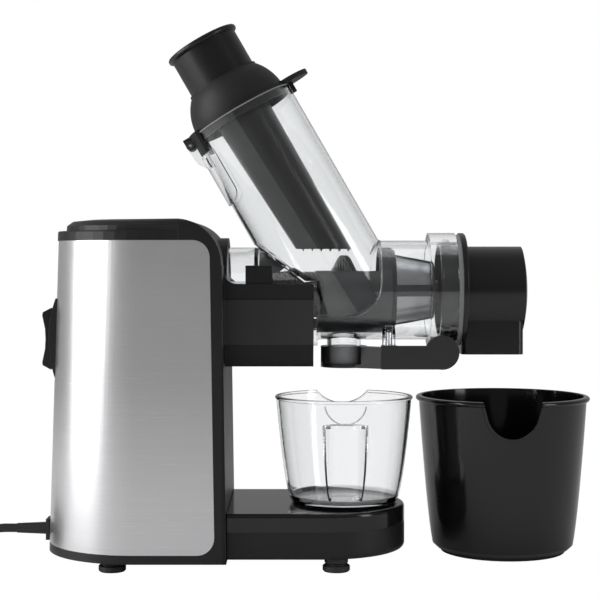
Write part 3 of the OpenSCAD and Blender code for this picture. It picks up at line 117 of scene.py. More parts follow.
class Signal:
    """An output socket that takes part in arithmetic; each operator adds the Math node it needs."""

    def __init__(self, graph: Graph, socket: bpy.types.NodeSocket) -> None:
        """Keep the graph that owns the socket.

        Args:
            graph: The node graph that new nodes go into.
            socket: The output socket to read from.
        """
        self.graph = graph
        self.socket = socket

    def _math(self, operation: str, *values: Value) -> Signal:
        """Add one Math node.

        Args:
            operation: Blender's name of the operation.
            values: The node's inputs, in order.

        Returns:
            The node's result.
        """
        return self.graph.add("ShaderNodeMath", {"operation": operation}, dict(enumerate(values)))

    def __add__(self, other: Value) -> Signal:
        """Return self + other."""
        return self._math("ADD", self, other)

    __radd__ = __add__

    def __sub__(self, other: Value) -> Signal:
        """Return self - other."""
        return self._math("SUBTRACT", self, other)

    def __rsub__(self, other: Value) -> Signal:
        """Return other - self."""
        return self._math("SUBTRACT", other, self)

    def __mul__(self, other: Value) -> Signal:
        """Return self * other."""
        return self._math("MULTIPLY", self, other)

    __rmul__ = __mul__

    def __gt__(self, other: Value) -> Signal:
        """Return 1 where self is greater than other, else 0."""
        return self._math("GREATER_THAN", self, other)

    def __lt__(self, other: Value) -> Signal:
        """Return 1 where self is less than other, else 0."""
        return self._math("LESS_THAN", self, other)

    def peak(self, other: Value) -> Signal:
        """Return the larger of self and other."""
        return self._math("MAXIMUM", self, other)

    def sine(self) -> Signal:
        """Return the sine of self, in radians."""
        return self._math("SINE", self)

    def ramp(self, low: float, high: float) -> Signal:
        """Rise smoothly from 0 at low to 1 at high.

        Args:
            low: Value that gives 0.
            high: Value that gives 1.

        Returns:
            The smoothed result.
        """
        return self.graph.add("ShaderNodeMapRange", {"interpolation_type": "SMOOTHSTEP"},
                              {"Value": self, "From Min": low, "From Max": high})

    def around(self, level: float, spread: float) -> Signal:
        """Read self as a mask from 0 to 1, and vary a level with it.

        Args:
            level: The level at a mask of one half.
            spread: Share by which the level falls and rises.

        Returns:
            The varied level.
        """
        return level * (1.0 - spread + 2.0 * spread * self)


Value = Union[Signal, float]


class Graph:
    """Builder of one node tree."""

    def __init__(self, tree: bpy.types.NodeTree) -> None:
        """Empty the tree and keep it.

        Args:
            tree: The tree of a material or of the world.
        """
        self.tree = tree
        tree.nodes.clear()

    def add(self, kind: str, settings: dict[str, Any] | None = None,
            inputs: dict[str | int, Any] | None = None, output: str | int = 0) -> Signal:
        """Add any node.

        Args:
            kind: The node's type.
            settings: Attributes that are set first, such as a Math node's operation.
            inputs: Values or Signals by socket name or number.
            output: Name or number of the output to return.

        Returns:
            The chosen output as a Signal.
        """
        node = self.tree.nodes.new(kind)
        for name, value in (settings or {}).items():
            setattr(node, name, value)
        for name, value in (inputs or {}).items():
            socket = node.inputs[name]
            if isinstance(value, Signal):
                self.tree.links.new(value.socket, socket)
            elif isinstance(value, tuple) and len(value) == 3 and socket.type == "RGBA":
                socket.default_value = (*value, 1.0)
            else:
                socket.default_value = value
        return Signal(self, node.outputs[output] if len(node.outputs) else None)

    def place(self, scale: Point = (1.0, 1.0, 1.0), centre: Point = (0.0, 0.0, 0.0)) -> Signal:
        """Give object coordinates, centred and scaled.

        Args:
            scale: Factor along each axis, applied last.
            centre: Point that becomes the origin.

        Returns:
            The coordinates.
        """
        where = self.add("ShaderNodeTexCoord", output="Object")
        moved = self.add("ShaderNodeVectorMath", {"operation": "SUBTRACT"}, {0: where, 1: centre})
        return self.add("ShaderNodeMapping", None, {"Vector": moved, "Scale": scale})

    def axes(self, where: Signal) -> tuple[Signal, Signal, Signal]:
        """Split coordinates.

        Args:
            where: The coordinates.

        Returns:
            Their X, Y and Z.
        """
        split = self.add("ShaderNodeSeparateXYZ", None, {0: where})
        outputs = split.socket.node.outputs
        return Signal(self, outputs[0]), Signal(self, outputs[1]), Signal(self, outputs[2])

    def noise(self, where: Signal, scale: float = 1.0, detail: float = 3.0,
              roughness: float = 0.5) -> Signal:
        """Give noise from 0 to 1.

        Args:
            where: Coordinates to read.
            scale: Waves per unit.
            detail: Octaves.
            roughness: Weight of the finer octaves.

        Returns:
            The noise.
        """
        return self.add("ShaderNodeTexNoise", None,
                        {"Vector": where, "Scale": scale, "Detail": detail, "Roughness": roughness})

    def blend(self, factor: Value, first: Any, second: Any) -> Signal:
        """Mix two colours.

        Args:
            factor: 0 for the first, 1 for the second.
            first: Colour or Signal.
            second: Colour or Signal.

        Returns:
            The mixed colour.
        """
        return self.add("ShaderNodeMix", {"data_type": "RGBA"},
                        {"Factor": factor, 6: first, 7: second}, output=2)

    def bump(self, height: Signal, depth: float, normal: Signal | None = None) -> Signal:
        """Turn heights into a normal.

        Args:
            height: Height from 0 to 1.
            depth: Depth in millimetres that 1 stands for.
            normal: Normal to start from.

        Returns:
            The bent normal.
        """
        inputs: dict[str | int, Any] = {"Height": height, "Strength": 1.0, "Distance": depth * MM}
        if normal is not None:
            inputs["Normal"] = normal
        return self.add("ShaderNodeBump", None, inputs)

    def soft_edges(self, radius: float) -> Signal:
        """Give a normal that rounds the edges over a radius in millimetres."""
        return self.add("ShaderNodeBevel", {"samples": 4}, {"Radius": radius * MM})

    def surface(self, **sockets: Any) -> None:
        """Add the Principled shader and the output.

        Args:
            sockets: Values or Signals by socket name, with _ for each space.
        """
        shader = self.add("ShaderNodeBsdfPrincipled", None,
                          {name.replace("_", " "): value for name, value in sockets.items()})
        self.add("ShaderNodeOutputMaterial", None, {"Surface": shader})


# ---------------------------------------------------------------- finishes


def scaled(colour: Colour, gain: float) -> Colour:
    """Return a colour with each channel times a gain, up to 1."""
    return tuple(min(1.0, channel * gain) for channel in colour)


@dataclass(frozen=True)
class Finish:
    """A surface finish: one material, made once."""

    name: str
    colour: Colour

    def material(self) -> bpy.types.Material:
        """Build the finish's material the first time it is asked for.

        Returns:
            The material.
        """
        title = f"{self.name}_finish"
        made = bpy.data.materials.get(title)
        if made is None:
            made = bpy.data.materials.new(title)
            made.use_nodes = True
            made.diffuse_color = (*self.colour, 1.0)
            self.paint(Graph(made.node_tree))
        return made

    def paint(self, graph: Graph) -> None:
        """Fill the graph; each finish has its own way."""
        raise NotImplementedError

    def tinted(self, graph: Graph, mask: Signal, spread: float) -> Signal:
        """Vary the finish's colour.

        Args:
            graph: The graph to build in.
            mask: Where the lighter tone goes, 0 to 1.
            spread: Share by which the tones lie apart.

        Returns:
            The colour.
        """
        return graph.blend(mask, scaled(self.colour, 1 - spread), scaled(self.colour, 1 + spread))


@dataclass(frozen=True)
class Moulding(Finish):
    """Moulded plastic: fine grain, slight flow marks and softened edges."""

    roughness: float = 0.4
    grain: float = 0.25
    grain_depth: float = 0.01
    spread: float = 0.12
    edge: float = 0.5
    shine: float = 0.45

    def paint(self, graph: Graph) -> None:
        """Make grain from fine noise, flow marks from broad noise, and rounded edges.

        Args:
            graph: The graph to build in.
        """
        where = graph.place()
        flow = graph.noise(where, scale=22.0, detail=4.0)
        fine = graph.noise(where, scale=1.0 / MM / self.grain, detail=2.0, roughness=0.6)
        normal = graph.bump(fine, self.grain_depth, graph.soft_edges(self.edge))
        graph.surface(Base_Color=self.tinted(graph, flow, self.spread),
                      Roughness=graph.noise(where, scale=60.0).around(self.roughness, 0.14),
                      Specular_IOR_Level=self.shine, Normal=normal)


@dataclass(frozen=True)
class HousingMoulding(Moulding):
    """Moulded housing with a painted reflection band on the neck's side over painted shade on the
    sill below it; places in metres.
    """

    neck_x: float = -0.0755
    # heights of the painted reflection band on the neck's side, then the gains of that painted
    # reflection and of the painted shade on the sill below it
    reflection_low: float = 0.1732
    reflection_high: float = 0.2077
    reflection_gain: float = 3.0
    sill_shade_gain: float = 0.1

    def tinted(self, graph: Graph, mask: Signal, spread: float) -> Signal:
        """Vary the colour, paint a paler reflection band on the neck's side and paint shade on the
        sill under it.

        Args:
            graph: The graph to build in.
            mask: Where the lighter tone goes, 0 to 1.
            spread: Share by which the tones lie apart.

        Returns:
            The colour.
        """
        base = super().tinted(graph, mask, spread)
        along, _, up = graph.axes(graph.place())
        neck = along > self.neck_x
        # painted reflection: the neck's side between these heights is made paler
        reflection_band = neck * (up > self.reflection_low) * (up < self.reflection_high)
        # painted shade: the neck's underside below the band is made darker
        sill_shade = neck * (up < self.reflection_low)
        reflected = graph.blend(reflection_band, base, scaled(self.colour, self.reflection_gain))
        return graph.blend(sill_shade, reflected, scaled(self.colour, self.sill_shade_gain))


@dataclass(frozen=True)
class BrushedSteel(Finish):
    """Steel sheet brushed level round the tower, with a few longer scratches, painted floor light
    that makes it lighter towards the foot and a painted reflection that makes it paler towards the
    top; spans in metres.
    """

    roughness: float = 0.3
    depth: float = 0.006
    hair_scale: Point = (14.0, 14.0, 5200.0)
    band_scale: Point = (6.0, 6.0, 700.0)
    scratch_scale: Point = (38.0, 38.0, 1900.0)
    scratch: Colour = (0.86, 0.86, 0.87)
    scratch_share: float = 0.5
    # painted light: floor light towards the foot and a paler reflection towards the top
    floor_light_span: Span = (0.0, 0.2)
    floor_light_gain: float = 0.14
    top_reflection: Colour = (0.82, 0.82, 0.83)
    top_reflection_span: Span = (0.13, 0.24)
    top_reflection_share: float = 0.8

    def paint(self, graph: Graph) -> None:
        """Make streaks from noise that is long round the tower and short up it, with painted floor
        light towards the foot and a painted reflection towards the top.

        Args:
            graph: The graph to build in.
        """
        hair = graph.noise(graph.place(self.hair_scale), detail=4.0, roughness=0.65)
        band = graph.noise(graph.place(self.band_scale))
        scratch = graph.noise(graph.place(self.scratch_scale), detail=2.0,
                              roughness=0.4).ramp(0.64, 0.8)
        tone = (0.55 * hair + 0.45 * band).ramp(0.25, 0.75)
        _, _, up = graph.axes(graph.place())
        # painted floor light: lighter towards the foot, mixed half and half with the real brushing
        # streaks
        low = 1.0 - up.ramp(*self.floor_light_span)
        foot = graph.blend(0.5 * tone + 0.5 * low, self.colour,
                           scaled(self.colour, 1 + self.floor_light_gain))
        # painted reflection: paler towards the top of the tower
        lit_top = graph.blend(self.top_reflection_share * up.ramp(*self.top_reflection_span), foot, self.top_reflection)
        graph.surface(Base_Color=graph.blend(scratch * self.scratch_share, lit_top, self.scratch),
                      Metallic=1.0,
                      Roughness=hair.around(self.roughness, 0.2) + 0.1 * scratch,
                      Normal=graph.bump(0.7 * hair + 0.3 * band, self.depth))


@dataclass(frozen=True)
class ClearMoulding(Finish):
    """Polished clear plastic, a little wavy, with painted shade where the wall is seen edge on and
    at the foot; the foot's top is in metres.
    """

    index: float = 1.49
    wave: float = 0.02
    roughness: float = 0.02
    # painted shade: colour of edge-on walls, and colour of the foot
    edge_shade: Colour = (0.4, 0.41, 0.42)
    edge_shade_span: Span = (0.25, 0.95)
    foot_z: float = 0.0
    foot_fade: float = 3.0
    foot_shade: Colour = (0.5, 0.51, 0.52)

    def paint(self, graph: Graph) -> None:
        """Let light through, with painted shade: greyer where the wall is seen edge on and in the
        bottom few millimetres.

        Args:
            graph: The graph to build in.
        """
        where = graph.place()
        facing = graph.add("ShaderNodeLayerWeight", None, {"Blend": 0.5}, output="Facing")
        _, _, up = graph.axes(where)
        # painted shade: the clear wall is greyer at the foot and where it is seen edge on
        foot = 1.0 - up.ramp(self.foot_z, self.foot_z + self.foot_fade * MM)
        wall = graph.blend(facing.ramp(*self.edge_shade_span), self.colour, self.edge_shade)
        graph.surface(Base_Color=graph.blend(foot, wall, self.foot_shade),
                      Transmission_Weight=1.0, IOR=self.index, Roughness=self.roughness,
                      Normal=graph.bump(graph.noise(where, scale=30.0, detail=2.0), self.wave))


@dataclass(frozen=True)
class Rubber(Finish):
    """Rubber or silicone: matt, a little dusty in the hollows."""

    roughness: float = 0.6
    grain_depth: float = 0.02
    edge: float = 0.3
    through: float = 0.0
    through_depth: float = 4.0

    def paint(self, graph: Graph) -> None:
        """Make fine pitting and a mottled roughness.

        Args:
            graph: The graph to build in.
        """
        where = graph.place()
        pits = graph.noise(where, scale=2600.0, detail=2.0, roughness=0.7)
        mottle = graph.noise(where, scale=90.0, detail=4.0)
        graph.surface(Base_Color=self.tinted(graph, mottle, 0.14),
                      Roughness=mottle.around(self.roughness, 0.15),
                      Subsurface_Weight=self.through,
                      Subsurface_Radius=(self.through_depth * MM,) * 3,
                      Normal=graph.bump(pits, self.grain_depth, graph.soft_edges(self.edge)))


@dataclass(frozen=True)
class Metal(Finish):
    """Cast, turned, pressed or plated metal."""

    roughness: float = 0.3
    streaks: Point = (400.0, 400.0, 400.0)
    depth: float = 0.01
    edge: float = 0.25

    def paint(self, graph: Graph) -> None:
        """Make tool marks along one direction over broad tone changes.

        Args:
            graph: The graph to build in.
        """
        marks = graph.noise(graph.place(self.streaks), roughness=0.6)
        cloud = graph.noise(graph.place(), scale=70.0, detail=4.0)
        graph.surface(Base_Color=self.tinted(graph, cloud, 0.12), Metallic=1.0,
                      Roughness=marks.around(self.roughness, 0.25),
                      Normal=graph.bump(marks, self.depth, graph.soft_edges(self.edge)))


@dataclass(frozen=True)
class Winding(Finish):
    """Enamelled copper wire laid side by side."""

    wire: float = 0.7
    depth: float = 0.3
    shade_scale: Point = (900.0, 40.0, 40.0)

    def paint(self, graph: Graph) -> None:
        """Make rounded wires side by side, each a little different in tone.

        Args:
            graph: The graph to build in.
        """
        across, _, _ = graph.axes(graph.place())
        turns = across * (TURN / (self.wire * MM))
        shade = graph.noise(graph.place(self.shade_scale), detail=2.0)
        graph.surface(Base_Color=self.tinted(graph, shade, 0.3), Metallic=0.85, Roughness=0.32,
                      Normal=graph.bump(turns.sine() * 0.5 + 0.5, self.depth))


@dataclass(frozen=True)
class CircuitBoard(Finish):
    """Green solder mask over faint copper tracks; rates in radians per metre."""

    east_rate: float = 2400.0
    east_cut: float = 0.6
    north_rate: float = 1900.0
    north_cut: float = 0.8
    track_gain: float = 2.2
    depth: float = 0.03

    def paint(self, graph: Graph) -> None:
        """Lay straight tracks under the mask.

        Args:
            graph: The graph to build in.
        """
        east, north, _ = graph.axes(graph.place())
        tracks = ((east * self.east_rate).sine() > self.east_cut).peak(
            (north * self.north_rate).sine() > self.north_cut)
        graph.surface(Base_Color=graph.blend(tracks * 0.6, self.colour,
                                             scaled(self.colour, self.track_gain)),
                      Roughness=graph.noise(graph.place(), scale=200.0).around(0.4, 0.125),
                      Normal=graph.bump(tracks, self.depth))


@dataclass(frozen=True)
class EtchedMesh(Finish):
    """Etched steel with rows of tiny holes round the cone, whose middle is in metres."""

    centre: Point = (0.0, -0.0165, 0.2144)
    pitch: float = 0.9
    columns: float = 170.0
    hole_span: Span = (0.1, 0.4)
    hole: Colour = (0.05, 0.05, 0.05)
    depth: float = 0.12

    def paint(self, graph: Graph) -> None:
        """Set holes on a grid of turns round the cone and steps along it.

        Args:
            graph: The graph to build in.
        """
        along, over, up = graph.axes(graph.place(centre=self.centre))
        angle = graph.add("ShaderNodeMath", {"operation": "ARCTAN2"}, {0: over, 1: up})
        rows = (along * (TURN / (self.pitch * MM))).sine()
        hole = (rows * (angle * self.columns).sine()).ramp(*self.hole_span)
        graph.surface(Base_Color=graph.blend(hole, self.colour, self.hole), Metallic=1.0,
                      Roughness=0.3 + 0.3 * hole, Normal=graph.bump(1.0 - hole, self.depth))


@dataclass(frozen=True)
class CordJacket(Finish):
    """Smooth round cord jacket."""

    grain_depth: float = 0.01

    def paint(self, graph: Graph) -> None:
        """Make fine pitting and a mottled sheen.

        Args:
            graph: The graph to build in.
        """
        where = graph.place()
        pits = graph.noise(where, scale=3000.0, detail=2.0)
        graph.surface(Base_Color=self.tinted(graph, graph.noise(where, scale=120.0), 0.15),
                      Roughness=graph.noise(where, scale=400.0).around(0.5, 0.16),
                      Normal=graph.bump(pits, self.grain_depth))


class Look(Enum):
    """The juicer's finishes."""

    SATIN_BLACK = Moulding("satin_black", (0.008, 0.008, 0.009), grain_depth=0.012, shine=0.35)
    HOUSING_BLACK = HousingMoulding("housing_black", (0.008, 0.008, 0.0082), grain_depth=0.012,
                                    shine=0.35)
    GLOSS_BLACK = Moulding("gloss_black", (0.006, 0.006, 0.007), roughness=0.12, grain=1.2,
                           grain_depth=0.002, edge=0.6)
    CAP_BLACK = Moulding("cap_black", (0.007, 0.007, 0.008), roughness=0.2, grain=0.8,
                         grain_depth=0.003, edge=0.8)
    LEVER_BLACK = Moulding("lever_black", (0.022, 0.022, 0.0225), roughness=0.25, grain=0.8,
                           grain_depth=0.003, edge=0.8)
    DOME_BLACK = Moulding("dome_black", (0.013, 0.013, 0.014), roughness=0.5, grain=0.3,
                          grain_depth=0.015, shine=0.3)
    PUSHER_BLACK = Moulding("pusher_black", (0.008, 0.008, 0.009), roughness=0.3, grain=0.4,
                            grain_depth=0.006, edge=0.6, shine=0.35)
    SCREEN_GREY = Moulding("screen_grey", (0.038, 0.038, 0.041), roughness=0.38)
    AUGER_GREY = Moulding("auger_grey", (0.022, 0.022, 0.026), roughness=0.3)
    INNER_BLACK = Moulding("inner_black", (0.03, 0.03, 0.035), roughness=0.55)
    GEAR_PLASTIC = Moulding("gear_plastic", (0.72, 0.67, 0.55), spread=0.05)
    STEEL = BrushedSteel("steel", (0.6, 0.6, 0.61))
    BOWL_CLEAR = ClearMoulding("bowl_clear", (0.92, 0.93, 0.935))
    CUP_CLEAR = ClearMoulding("cup_clear", (0.95, 0.955, 0.96), wave=0.01, edge_shade=(0.6, 0.61, 0.62),
                              foot_z=0.05)
    FOOT_RUBBER = Rubber("foot_rubber", (0.02, 0.02, 0.021), roughness=0.55)
    SEAL_RUBBER = Rubber("seal_rubber", (0.03, 0.03, 0.035))
    SILICONE = Rubber("silicone", (0.26, 0.265, 0.27), roughness=0.45, grain_depth=0.008,
                      through=0.1)
    FASTENER = Metal("fastener", (0.66, 0.67, 0.69), roughness=0.25, streaks=(900.0, 900.0, 60.0))
    ZINC = Metal("zinc", (0.42, 0.43, 0.45), roughness=0.5, depth=0.03)
    GEAR_STEEL = Metal("gear_steel", (0.5, 0.5, 0.52), roughness=0.28, streaks=(2500.0, 80.0, 80.0))
    MESH_STEEL = EtchedMesh("mesh_steel", (0.62, 0.63, 0.65))
    COPPER = Winding("winding", (0.42, 0.15, 0.05))
    BOARD = CircuitBoard("board_green", (0.02, 0.12, 0.045))
    CORD = CordJacket("cord_black", (0.009, 0.009, 0.009))

    def dress(self, piece: bpy.types.Object) -> None:
        """Give a piece this finish as its only material."""
        piece.data.materials.clear()
        piece.data.materials.append(self.value.material())


# ---------------------------------------------------------------- building


def ease(value: float, span: Span) -> float:
    """Go smoothly from 0 at the span's start to 1 at its end."""
    share = min(1.0, max(0.0, (value - span[0]) / (span[1] - span[0])))
    return share * share * (3.0 - 2.0 * share)


def stand(name: str, data: bpy.types.ID) -> bpy.types.Object:
    """Link a new object to the scene.

    Args:
        name: The object's name.
        data: The mesh, curve, lamp or camera that it holds.

    Returns:
        The object.
    """
    made = bpy.data.objects.new(name, data)
    bpy.context.scene.collection.objects.link(made)
    return made


def cast(name: str, shape: bmesh.types.BMesh) -> bpy.types.Mesh:
    """Turn a finished shape into a mesh.

    Args:
        name: The mesh's name.
        shape: The shape, in metres in the frame; it is freed.

    Returns:
        The mesh.
    """
    mesh = bpy.data.meshes.new(name)
    shape.to_mesh(mesh)
    shape.free()
    return mesh


class Workshop:
    """The loaded frame, and what the sub-assemblies share."""

    origin_x: float = 16.692166
    origin_y: float = 16.5
    bead_sides: int = 8

    def __init__(self) -> None:
        """Load the frame and keep the CAD box."""
        self.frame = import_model()
        self.cad_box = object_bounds()

    def at(self, x: float, y: float, z: float) -> Vector:
        """Turn the machine's millimetres, from the auger's plane, into the frame's metres."""
        return Vector(((x - self.origin_x) * MM, (y - self.origin_y) * MM, z * MM))

    def dress(self, looks: dict[str, Look]) -> None:
        """Give CAD nodes their finishes.

        Args:
            looks: Finish by node name.
        """
        for node, look in looks.items():
            look.dress(self.frame["nodes"][node])
            LOG.info("%s is dressed in %s", node, look.value.name)

    def piece(self, name: str, shape: bmesh.types.BMesh, look: Look, body: str, slot: str,
              replaced: Sequence[str] = (), smooth: float = 35.0) -> bpy.types.Object:
        """Turn a finished shape into a piece that rides on a body.

        Args:
            name: The piece's name.
            shape: The shape, in metres in the frame; it is freed.
            look: The piece's finish.
            body: The CAD body that it rides on.
            slot: Not used.
            replaced: CAD nodes that it stands for.
            smooth: Angle in degrees under which edges are shaded smooth.

        Returns:
            The piece.
        """
        mesh = cast(name, shape)
        made = stand(name, mesh)
        for polygon in mesh.polygons:
            polygon.use_smooth = True
        mesh.set_sharp_from_angle(angle=math.radians(smooth))
        look.dress(made)
        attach(made, body)
        if replaced:
            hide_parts(*replaced)
        LOG.info("%s rides on %s", name, body)
        return made

    def bead(self, name: str, path: Sequence[Vector], radius: float, look: Look, body: str,
             slot: str) -> bpy.types.Object:
        """Run a thin round bead along a path.

        Args:
            name: The bead's name.
            path: Points that its middle runs through.
            radius: Its radius in metres.
            look: Its finish.
            body: The CAD body that it rides on.
            slot: Not used; it is only passed on to piece, which does not use it.

        Returns:
            The bead.
        """
        steps = [(b - a).normalized() for a, b in zip(path, path[1:])]
        ways = [steps[0], *(a + b for a, b in zip(steps, steps[1:])), steps[-1]]
        shape = bmesh.new()
        ring = bmesh.ops.create_circle(shape, cap_ends=False, segments=self.bead_sides,
                                       radius=radius)["verts"]
        turn = Vector((0.0, 0.0, 1.0)).rotation_difference(ways[0]).to_matrix().to_4x4()
        bmesh.ops.transform(shape, matrix=Matrix.Translation(path[0]) @ turn, verts=ring)
        edges = list(shape.edges)
        for start, end, before, after in zip(path, path[1:], ways, ways[1:]):
            grown = bmesh.ops.extrude_edge_only(shape, edges=edges)["geom"]
            ring = [part for part in grown if isinstance(part, bmesh.types.BMVert)]
            edges = [part for part in grown if isinstance(part, bmesh.types.BMEdge)]
            turn = before.rotation_difference(after).to_matrix().to_4x4()
            bmesh.ops.transform(shape, verts=ring, matrix=Matrix.Translation(end) @ turn
                                @ Matrix.Translation(-start))
        bmesh.ops.holes_fill(shape, edges=shape.edges, sides=0)
        bmesh.ops.recalc_face_normals(shape, faces=shape.faces)
        return self.piece(name, shape, look, body, slot, smooth=60.0)


@dataclass(frozen=True)
class Lamp:
    """A rectangular soft light, in metres and watts; mirrored is whether it shows in gloss."""

    name: str
    where: Point
    aim: Point
    size: tuple[float, float]
    power: float
    mirrored: bool = True

    def build(self) -> None:
        """Hang the light and turn it to its aim."""
        data = bpy.data.lights.new(self.name, "AREA")
        data.shape = "RECTANGLE"
        data.size, data.size_y = self.size
        data.energy = self.power
        lamp = stand(self.name, data)
        lamp.location = self.where
        facing = Vector(self.aim) - Vector(self.where)
        lamp.rotation_euler = facing.to_track_quat("-Z", "Y").to_euler()
        lamp.visible_glossy = self.mirrored


@dataclass
class Studio:
    """Camera, lamps and pale surroundings; the floor and the camera's clipping are in metres."""

    shop: Workshop
    lens: float = 90.0
    sensor: float = 36.0
    shift: float = -0.07
    clip: Span = (0.05, 20.0)
    distance: float = 1200.0
    height: float = 240.0
    plain: float = 0.17
    behind_gain: float = 0.14
    overhead_gain: float = 0.1
    seen_through: float = 0.15
    floor_size: float = 6.0
    floor_tone: float = 0.8
    floor_glow: float = 1.03
    floor_share: float = 0.97
    lamps: Sequence[Lamp] = (
        Lamp("left_strip", (-1.5, -0.45, 0.45), (-0.1, 0.0, 0.2), (1.15, 1.6), 25.0),
        Lamp("key", (-0.5, -1.5, 1.5), (0.0, 0.0, 0.15), (1.2, 0.8), 8.0, mirrored=False),
        Lamp("right_fill", (1.6, -0.9, 0.6), (0.05, 0.0, 0.2), (0.5, 1.2), 7.0),
        Lamp("top", (0.1, 0.3, 1.7), (0.0, 0.0, 0.2), (1.6, 0.8), 6.0, mirrored=False))

    def camera(self) -> None:
        """Stand the camera level, square to the machine's side."""
        data = bpy.data.cameras.new("camera")
        data.lens = self.lens
        data.sensor_width = self.sensor
        data.shift_y = self.shift
        data.clip_start, data.clip_end = self.clip
        camera = stand("camera", data)
        camera.location = self.shop.at(0.0, -self.distance, self.height)
        camera.rotation_euler = (math.radians(90.0), 0.0, 0.0)
        bpy.context.scene.camera = camera

    def surroundings(self) -> None:
        """Make the world white to the camera and through clear pieces, and grey in reflections."""
        world = bpy.data.worlds.new("surroundings")
        bpy.context.scene.world = world
        world.use_nodes = True
        graph = Graph(world.node_tree)
        _, depth, up = graph.axes(graph.add("ShaderNodeTexCoord", output="Generated"))
        behind = depth.ramp(0.0, 0.5)
        overhead = up.ramp(-0.1, 0.9)
        plain = self.plain + self.behind_gain * behind + self.overhead_gain * overhead
        seen = graph.add("ShaderNodeLightPath", output="Is Camera Ray")
        through = graph.add("ShaderNodeLightPath", output="Is Transmission Ray")
        pale = seen.peak(through * (self.seen_through + (1.0 - self.seen_through) * behind))
        shown = graph.add("ShaderNodeBackground", None,
                          {"Color": WHITE, "Strength": plain + pale * (1.0 - plain)})
        graph.add("ShaderNodeOutputWorld", None, {"Surface": shown})

    def floor(self) -> None:
        """Lay a wide pale floor that keeps a faint shadow."""
        shape = bmesh.new()
        bmesh.ops.create_grid(shape, x_segments=1, y_segments=1, size=self.floor_size)
        mesh = cast("floor", shape)
        ground = stand("floor", mesh)
        made = bpy.data.materials.new("floor_white")
        made.use_nodes = True
        graph = Graph(made.node_tree)
        seen = graph.add("ShaderNodeLightPath", output="Is Camera Ray").peak(
            graph.add("ShaderNodeLightPath", output="Is Transmission Ray"))
        matt = graph.add("ShaderNodeBsdfDiffuse", None, {"Color": (self.floor_tone,) * 3})
        glow = graph.add("ShaderNodeEmission", None, {"Color": WHITE, "Strength": self.floor_glow})
        mixed = graph.add("ShaderNodeMixShader", None,
                          {0: seen * self.floor_share, 1: matt, 2: glow})
        graph.add("ShaderNodeOutputMaterial", None, {"Surface": mixed})
        mesh.materials.append(made)
        ground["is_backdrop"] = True

    def build(self) -> None:
        """Set the whole studio up."""
        self.camera()
        self.surroundings()
        self.floor()
        for lamp in self.lamps:
            lamp.build()
        bpy.context.scene.view_settings.view_transform = "Standard"


@dataclass
class Plug:
    """Two-pin plug: a rounded grip, a tapered tail round the cord and two round pins.

    It lies along +Y from the cord's end.
    """

    shop: Workshop
    cord_end: Vector
    cord_r: float
    grip_size: Point = (25.6, 25.0, 20.2)
    grip_y: float = 31.5
    grip_round: float = 6.5
    grip_facets: int = 5
    waist_inset: float = 2.4
    waist_length: float = 2.0
    tail_y: float = 0.2
    tail_length: float = 18.5
    tail_wall: float = 0.7
    tail_r: float = 6.2
    tail_sides: int = 32
    pin_x: float = 9.5
    pin_y: float = 43.5
    pin_length: float = 19.0
    pin_r: Span = (2.4, 2.2)
    pin_sides: int = 24

    def rod(self, shape: bmesh.types.BMesh, side: float, start: float, length: float,
            radii: Span, sides: int) -> None:
        """Add a tapered round rod along +Y.

        Args:
            shape: The shape that it goes into.
            side: Its place across the plug.
            start: Where it begins.
            length: Its length.
            radii: Its radius at its start and at its end.
            sides: Number of its sides.
        """
        rod = bmesh.ops.create_cone(shape, cap_ends=True, segments=sides, radius1=radii[0] * MM,
                                    radius2=radii[1] * MM, depth=length * MM)
        middle = Matrix.Translation((side * MM, (start + length / 2) * MM, 0.0))
        bmesh.ops.transform(shape, matrix=middle @ Matrix.Rotation(math.radians(-90.0), 4, "X"),
                            verts=rod["verts"])

    def build(self) -> bpy.types.Object:
        """Model the plug from a cube and three rods.

        Returns:
            The piece.
        """
        shape = bmesh.new()
        bmesh.ops.create_cube(shape, size=1.0)
        bmesh.ops.transform(shape, matrix=Matrix.Translation((0.0, self.grip_y * MM, 0.0))
                            @ Matrix.Diagonal((*(size * MM for size in self.grip_size), 1.0)),
                            verts=shape.verts)
        along = [edge for edge in shape.edges
                 if abs(edge.verts[0].co.y - edge.verts[1].co.y) > self.grip_size[1] * MM / 2]
        bmesh.ops.bevel(shape, geom=along, offset=self.grip_round * MM, segments=self.grip_facets,
                        profile=0.5, affect="EDGES", material=-1, clamp_overlap=True)
        rear = [face for face in shape.faces if face.normal.y < -0.9]
        bmesh.ops.inset_region(shape, faces=rear, thickness=self.waist_inset * MM)
        bmesh.ops.translate(shape, vec=(0.0, -self.waist_length * MM, 0.0),
                            verts=list({vert for face in rear for vert in face.verts}))
        self.rod(shape, 0.0, self.tail_y, self.tail_length,
                 (self.cord_r + self.tail_wall, self.tail_r), self.tail_sides)
        for side in (-self.pin_x, self.pin_x):
            self.rod(shape, side, self.pin_y, self.pin_length, self.pin_r, self.pin_sides)
        bmesh.ops.translate(shape, vec=self.cord_end, verts=shape.verts)
        bmesh.ops.recalc_face_normals(shape, faces=shape.faces)
        return self.shop.piece("mains_plug", shape, Look.CORD, "root", "cord_black", ["plug"])


